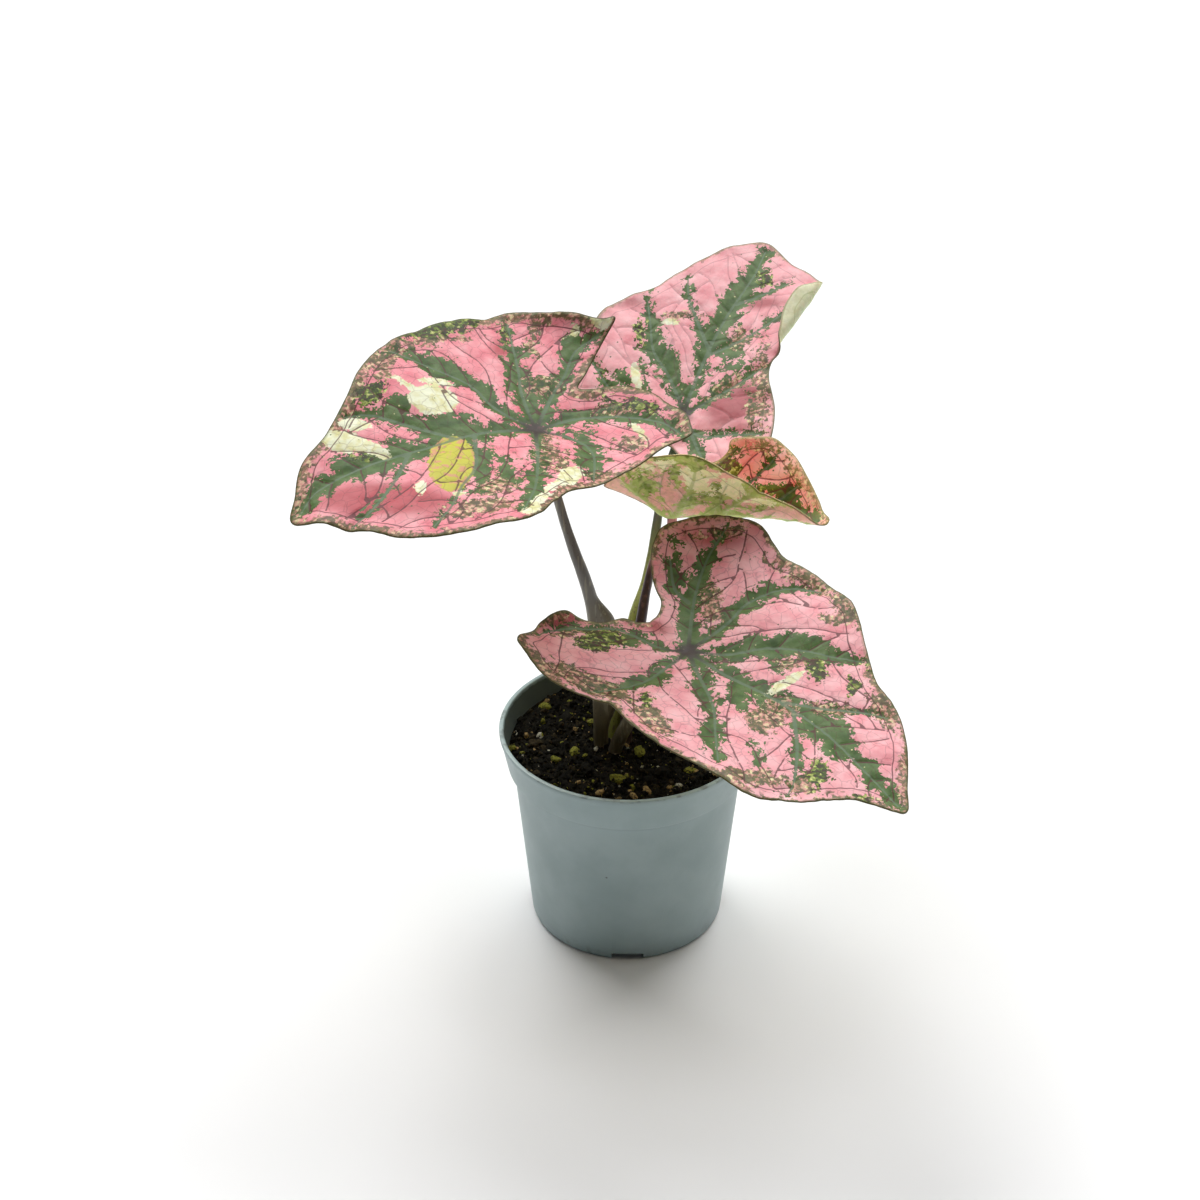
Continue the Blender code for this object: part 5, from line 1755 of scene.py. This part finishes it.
@dataclass
class Soil:
    """The soil that fills the pot: its body, a crumbly top and loose crumbs on it.

    The larger bits are rows of x, y, two half widths, turn in degrees and tone.
    """

    pot: Pot
    level: float = 46.0
    gap: float = 0.3
    rings: int = 64
    sides: int = 224
    lumps: int = 110
    lump_radius: Point = (1.6, 4.2)
    lump_height: Point = (0.3, 1.3)
    lump_seed: int = 41
    edge_width: float = 2.0
    bits: tuple[Point, ...] = (
        (-7.9, 8.1, 1.7, 1.2, 0, 0.92),
        (-12.5, -3.8, 1.5, 1.1, 67, 0.92),
        (-16.7, -6.6, 1.2, 0.9, 134, 0.92),
        (-27.0, -1.8, 1.0, 0.9, 21, 0.92),
        (2.8, -4.6, 1.6, 1.2, 88, 0.93),
        (-2.6, -14.9, 1.9, 1.3, 155, 0.94),
        (-6.5, -19.9, 1.3, 0.8, 42, 0.96),
        (4.2, -19.1, 1.5, 0.8, 109, 0.96),
        (11.5, -17.2, 0.9, 0.7, 176, 0.99),
        (-7.2, -2.2, 0.8, 0.7, 63, 0.99),
        (-20.9, -12.1, 1.1, 0.9, 130, 0.8),
        (-21.7, -0.2, 1.8, 1.2, 17, 0.8),
        (-14.5, 10.2, 2.0, 1.4, 84, 0.5),
        (-1.8, 1.9, 1.4, 1.1, 151, 0.8),
        (7.3, -12.1, 1.8, 1.3, 38, 0.5),
        (-9.9, -11.4, 1.9, 1.4, 105, 0.5),
        (-19.6, 14.4, 1.6, 1.1, 172, 0.93),
        (-4.1, 16.5, 1.5, 1.2, 59, 0.8),
        (1.2, -21.8, 1.2, 0.7, 126, 0.95),
        (14.2, -11.4, 1.3, 1.0, 13, 0.92),
    )
    bit_seed: int = 12
    bit_sink: float = 0.35
    bit_flatness: float = 0.7
    top_rings: int = 24
    top_sides: int = 72
    crumbs: int = 5200
    crumb_radius: float = 0.5
    crumb_least: Point = (0.4, 0.4, 0.3)
    crumb_most: Point = (1.5, 1.2, 1.0)
    crumb_roughness: float = 0.7
    seed: int = 7
    finish: SoilFinish = field(default_factory=SoilFinish)

    def radius(self) -> float:
        """Where the top meets the pot's wall."""
        _, _, (low_radius, low), (high_radius, high) = self.pot.inner()
        return low_radius + (high_radius - low_radius) * (self.level - low) / (high - low) - self.gap

    def heights(self, x: np.ndarray, y: np.ndarray) -> np.ndarray:
        """Height of the top at each place, in mm."""
        draw = np.random.default_rng(self.lump_seed)
        bumps = np.zeros_like(x)
        for _ in range(self.lumps):
            distance = self.radius() * math.sqrt(draw.random())
            angle = draw.random() * math.tau
            radius = draw.uniform(*self.lump_radius)
            height = draw.uniform(*self.lump_height)
            away = np.hypot(x - distance * math.cos(angle), y - distance * math.sin(angle))
            bumps = np.maximum(bumps, height * np.exp(-((away / radius) ** 2)))
        flat = np.column_stack([x, y])
        fine = 0.22 * waves(flat, 1.7, self.seed) + 0.14 * waves(flat, 0.9, self.seed + 1)
        edge = np.clip((self.radius() - np.hypot(x, y)) / self.edge_width, 0.0, 1.0)
        return self.level + (bumps + fine) * edge

    def ring(self, share: float, turns: np.ndarray) -> np.ndarray:
        """Places round the top, at that share of its radius."""
        x, y = self.radius() * share * np.cos(turns), self.radius() * share * np.sin(turns)
        return np.column_stack([x, y, self.heights(x, y)])

    def body(self) -> bpy.types.Mesh:
        """The closed body, finely bumped on top."""
        count = self.sides
        turns = np.arange(count) * math.tau / count
        rings = [self.ring(share, turns) for share in np.linspace(0.02, 1.0, self.rings)]
        floor, low, band, _ = self.pot.inner()
        for radius, height in (band, low, (floor[0], floor[1] + self.gap)):
            x, y = (radius - self.gap) * np.cos(turns), (radius - self.gap) * np.sin(turns)
            rings.append(np.column_stack([x, y, np.full(count, height)]))
        faces = [tuple(reversed(range((len(rings) - 1) * count, len(rings) * count))), tuple(range(count))]
        faces += bands(len(rings), count)
        mesh = bpy.data.meshes.new("soil_body")
        mesh.from_pydata(np.vstack(rings) * MM, [], faces)
        mesh.materials.append(self.finish.ground())
        mesh.shade_smooth()
        return mesh

    def top(self) -> bpy.types.Object:
        """A plain sheet over the top, for the crumbs to lie on."""
        count = self.top_sides
        turns = np.arange(count) * math.tau / count
        rings = [self.ring(share, turns) for share in np.linspace(0.06, 0.985, self.top_rings)]
        middle = (0.0, 0.0, float(self.heights(np.zeros(1), np.zeros(1))[0]))
        faces = [(0, 1 + i, 1 + (i + 1) % count) for i in range(count)]
        faces += bands(self.top_rings, count, first=1)
        mesh = bpy.data.meshes.new("soil_top")
        mesh.from_pydata(np.vstack([middle, *rings]) * MM, [], faces)
        return add_object("soil_top", mesh)

    def scatter(self) -> bpy.types.Mesh:
        """Loose crumbs over the top, each with its own size, turn and tone."""
        tree = Tree("crumb_scatter")
        seed = tree.number("Seed", self.seed, whole=True)
        spread = tree.node("GeometryNodeDistributePointsOnFaces")
        tree.feed(spread.inputs["Mesh"], tree.start.outputs["Geometry"])
        area = math.pi * (self.radius() * MM) ** 2
        tree.feed(spread.inputs["Density"], tree.number("Crumbs per square metre", self.crumbs / area))
        tree.feed(spread.inputs["Seed"], seed)
        crumb = tree.node("GeometryNodeMeshIcoSphere")
        tree.feed(crumb.inputs["Radius"], tree.number("Crumb radius", self.crumb_radius * MM))
        crumb.inputs["Subdivisions"].default_value = 1
        size = self.random(tree, "FLOAT_VECTOR", self.crumb_least, self.crumb_most, 1)
        larger = self.random(tree, "FLOAT", 0.0, 1.0, 2)
        boost = tree.math("ADD", 0.55, tree.math("MULTIPLY", tree.math("POWER", larger, 6.0), 1.9))
        turn = self.random(tree, "FLOAT_VECTOR", (0.0, 0.0, 0.0), (math.tau, math.tau, math.tau), 3)
        place = tree.node("GeometryNodeInstanceOnPoints")
        tree.feed(place.inputs["Points"], spread.outputs["Points"])
        tree.feed(place.inputs["Instance"], crumb.outputs["Mesh"])
        tree.feed(place.inputs["Rotation"], turn)
        tree.feed(place.inputs["Scale"], tree.scaled(size, boost))
        mark = tree.node("GeometryNodeStoreNamedAttribute", data_type="FLOAT", domain="INSTANCE")
        tree.feed(mark.inputs["Geometry"], place.outputs[0])
        mark.inputs["Name"].default_value = "tone"
        tree.feed(mark.inputs["Value"], self.random(tree, "FLOAT", 0.0, 1.0, 4))
        real = tree.node("GeometryNodeRealizeInstances")
        tree.feed(real.inputs[0], mark.outputs[0])
        rough = tree.node("ShaderNodeTexNoise")
        rough.inputs["Scale"].default_value = 1600.0
        away = tree.vector("SUBTRACT", rough.outputs[1], (0.5, 0.5, 0.5))
        reach = tree.number("Crumb roughness", self.crumb_roughness * MM)
        shake = tree.node("GeometryNodeSetPosition")
        tree.feed(shake.inputs["Geometry"], real.outputs[0])
        tree.feed(shake.inputs["Offset"], tree.scaled(away, reach))
        tree.finish(shake.outputs[0], self.finish.crumbs())
        return tree.run(self.top(), "soil_crumbs")

    def larger_bits(self) -> bpy.types.Mesh:
        """The larger lumps that can be told apart."""
        draw = np.random.default_rng(self.bit_seed)
        round_one = bmesh.new()
        bmesh.ops.create_icosphere(round_one, subdivisions=4, radius=1.0)
        ball = np.array([vertex.co[:] for vertex in round_one.verts])
        sides = [[vertex.index for vertex in side.verts] for side in round_one.faces]
        round_one.free()
        places, faces, tones = [], [], []
        for x, y, long, wide, turn, tone in self.bits:
            rough = sum(
                size * waves(ball @ draw.normal(0.0, 1.0, (3, 2)), length, int(draw.integers(1000)))
                for size, length in ((0.14, 2.0), (0.06, 0.8))
            )
            lump = ball * (1 + rough)[:, None] * (long, wide, wide * self.bit_flatness)
            way = turn_about(np.array([0.0, 0.0, 1.0]), math.radians(turn))
            ground = float(self.heights(np.array([x]), np.array([y]))[0])
            faces += [[len(places) * len(ball) + corner for corner in side] for side in sides]
            places.append(lump @ way.T + (x, y, ground + wide * self.bit_sink))
            tones += [tone] * len(ball)
        mesh = bpy.data.meshes.new("soil_bits")
        mesh.from_pydata(np.vstack(places) * MM, [], faces)
        layer = mesh.attributes.new("tone", "FLOAT", "POINT")
        layer.data.foreach_set("value", np.array(tones, np.float32))
        mesh.materials.append(self.finish.crumbs())
        mesh.shade_smooth()
        return mesh

    def random(self, tree: Tree, kind: str, low: object, high: object, seed: int) -> Socket:
        """A random number or vector for each crumb."""
        made = tree.node("FunctionNodeRandomValue", data_type=kind)
        sockets = [socket for socket in made.inputs if socket.enabled]
        by_name = {socket.name: socket for socket in sockets}
        tree.feed(by_name["Min"], low)
        tree.feed(by_name["Max"], high)
        tree.feed(by_name["Seed"], seed + self.seed)
        return next(socket for socket in made.outputs if socket.enabled)

    def build(self) -> None:
        """Adds the body, the crumbs and the larger bits."""
        publish("soil_body", self.body(), "potting_soil", "soil")
        publish("soil_crumbs", self.scatter(), "potting_soil")
        publish("soil_bits", self.larger_bits(), "potting_soil")


@dataclass(frozen=True)
class Lamp:
    """A broad far light: its heading from +X, its height and how wide it looks, all in degrees."""

    name: str
    heading: float
    height: float
    spread: float
    strength: float

    def build(self) -> None:
        """Adds the light, far enough away to light the whole floor alike."""
        lamp = bpy.data.lights.new(self.name, "SUN")
        lamp.angle = math.radians(self.spread)
        lamp.energy = self.strength
        light = add_object(self.name, lamp)
        light.rotation_euler = (math.radians(90 - self.height), 0.0, math.radians(self.heading + 90))


@dataclass
class Studio:
    """The pale floor, the soft light from behind and above, and the photo's viewpoint."""

    camera_at: Point = (-0.00647, -0.4676, 0.3753)
    look_down: float = 31.76
    lens: float = 73.14
    sensor: float = 36.0
    floor_reach: float = 40.0
    floor_colour: Colour = (0.93, 0.93, 0.93)
    sky: float = 0.045
    lamps: tuple[Lamp, ...] = (
        Lamp("back_right_light", heading=62.0, height=49.0, spread=36.0, strength=1.75),
        Lamp("back_left_light", heading=120.0, height=50.0, spread=36.0, strength=2.2),
        Lamp("right_light", heading=5.0, height=62.0, spread=45.0, strength=0.55),
        Lamp("left_light", heading=175.0, height=60.0, spread=45.0, strength=0.3),
    )

    def camera(self) -> None:
        """Adds the camera at the photo's viewpoint."""
        camera = bpy.data.cameras.new("camera")
        camera.lens = self.lens
        camera.sensor_width = self.sensor
        view = add_object("camera", camera)
        view.location = self.camera_at
        view.rotation_euler = (math.radians(90 - self.look_down), 0.0, 0.0)
        bpy.context.scene.camera = view

    def floor(self) -> None:
        """Adds the floor, which is no part of the plant."""
        mesh = bpy.data.meshes.new("floor")
        reach = self.floor_reach
        corners = [(-reach, -reach, 0), (reach, -reach, 0), (reach, reach, 0), (-reach, reach, 0)]
        mesh.from_pydata(corners, [], [(0, 1, 2, 3)])
        paint = Paint("floor")
        mesh.materials.append(paint.finish(self.floor_colour, 0.9))
        paint.shader.inputs["Specular IOR Level"].default_value = 0.0
        floor = add_object("floor", mesh)

    def build(self) -> None:
        """Adds the camera, floor, sky and lamps."""
        scene = bpy.context.scene
        scene.view_settings.view_transform = "Standard"
        scene.view_settings.look = "None"
        self.camera()
        self.floor()
        world = bpy.data.worlds.new("sky")
        world.use_nodes = True
        background = world.node_tree.nodes["Background"]
        background.inputs["Color"].default_value = (1.0, 1.0, 1.0, 1.0)
        background.inputs["Strength"].default_value = self.sky
        scene.world = world
        for lamp in self.lamps:
            lamp.build()


def tuber_skin() -> bpy.types.Material:
    """The tuber's rough brown skin."""
    paint = Paint("tuber_skin")
    place = paint.own_place()
    skin = (shade(70, 50, 34), shade(112, 82, 54), shade(140, 108, 74))
    colour = paint.ramp(paint.grain(place, scale=0.6, detail=4.0), (0.3, 0.6, 0.8), skin)
    return paint.finish(colour, 0.85, paint.grain(place, scale=1.5, detail=5.0), 0.0004)


def main(solids: dict) -> None:
    """Builds the studio and every piece in order."""
    logging.basicConfig(level=logging.INFO, format="%(name)s %(message)s")
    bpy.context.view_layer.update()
    Studio().build()
    pot = Pot()
    pot.build()
    Soil(pot).build()
    for petiole in PETIOLES:
        petiole.build()
    for leaf in LEAVES:
        leaf.build()
    tuber = solids["nodes"]["tuber"]
    for slot in tuber.material_slots:
        slot.material = tuber_skin()
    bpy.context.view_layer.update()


if __name__ == "__main__":
    main(frame)
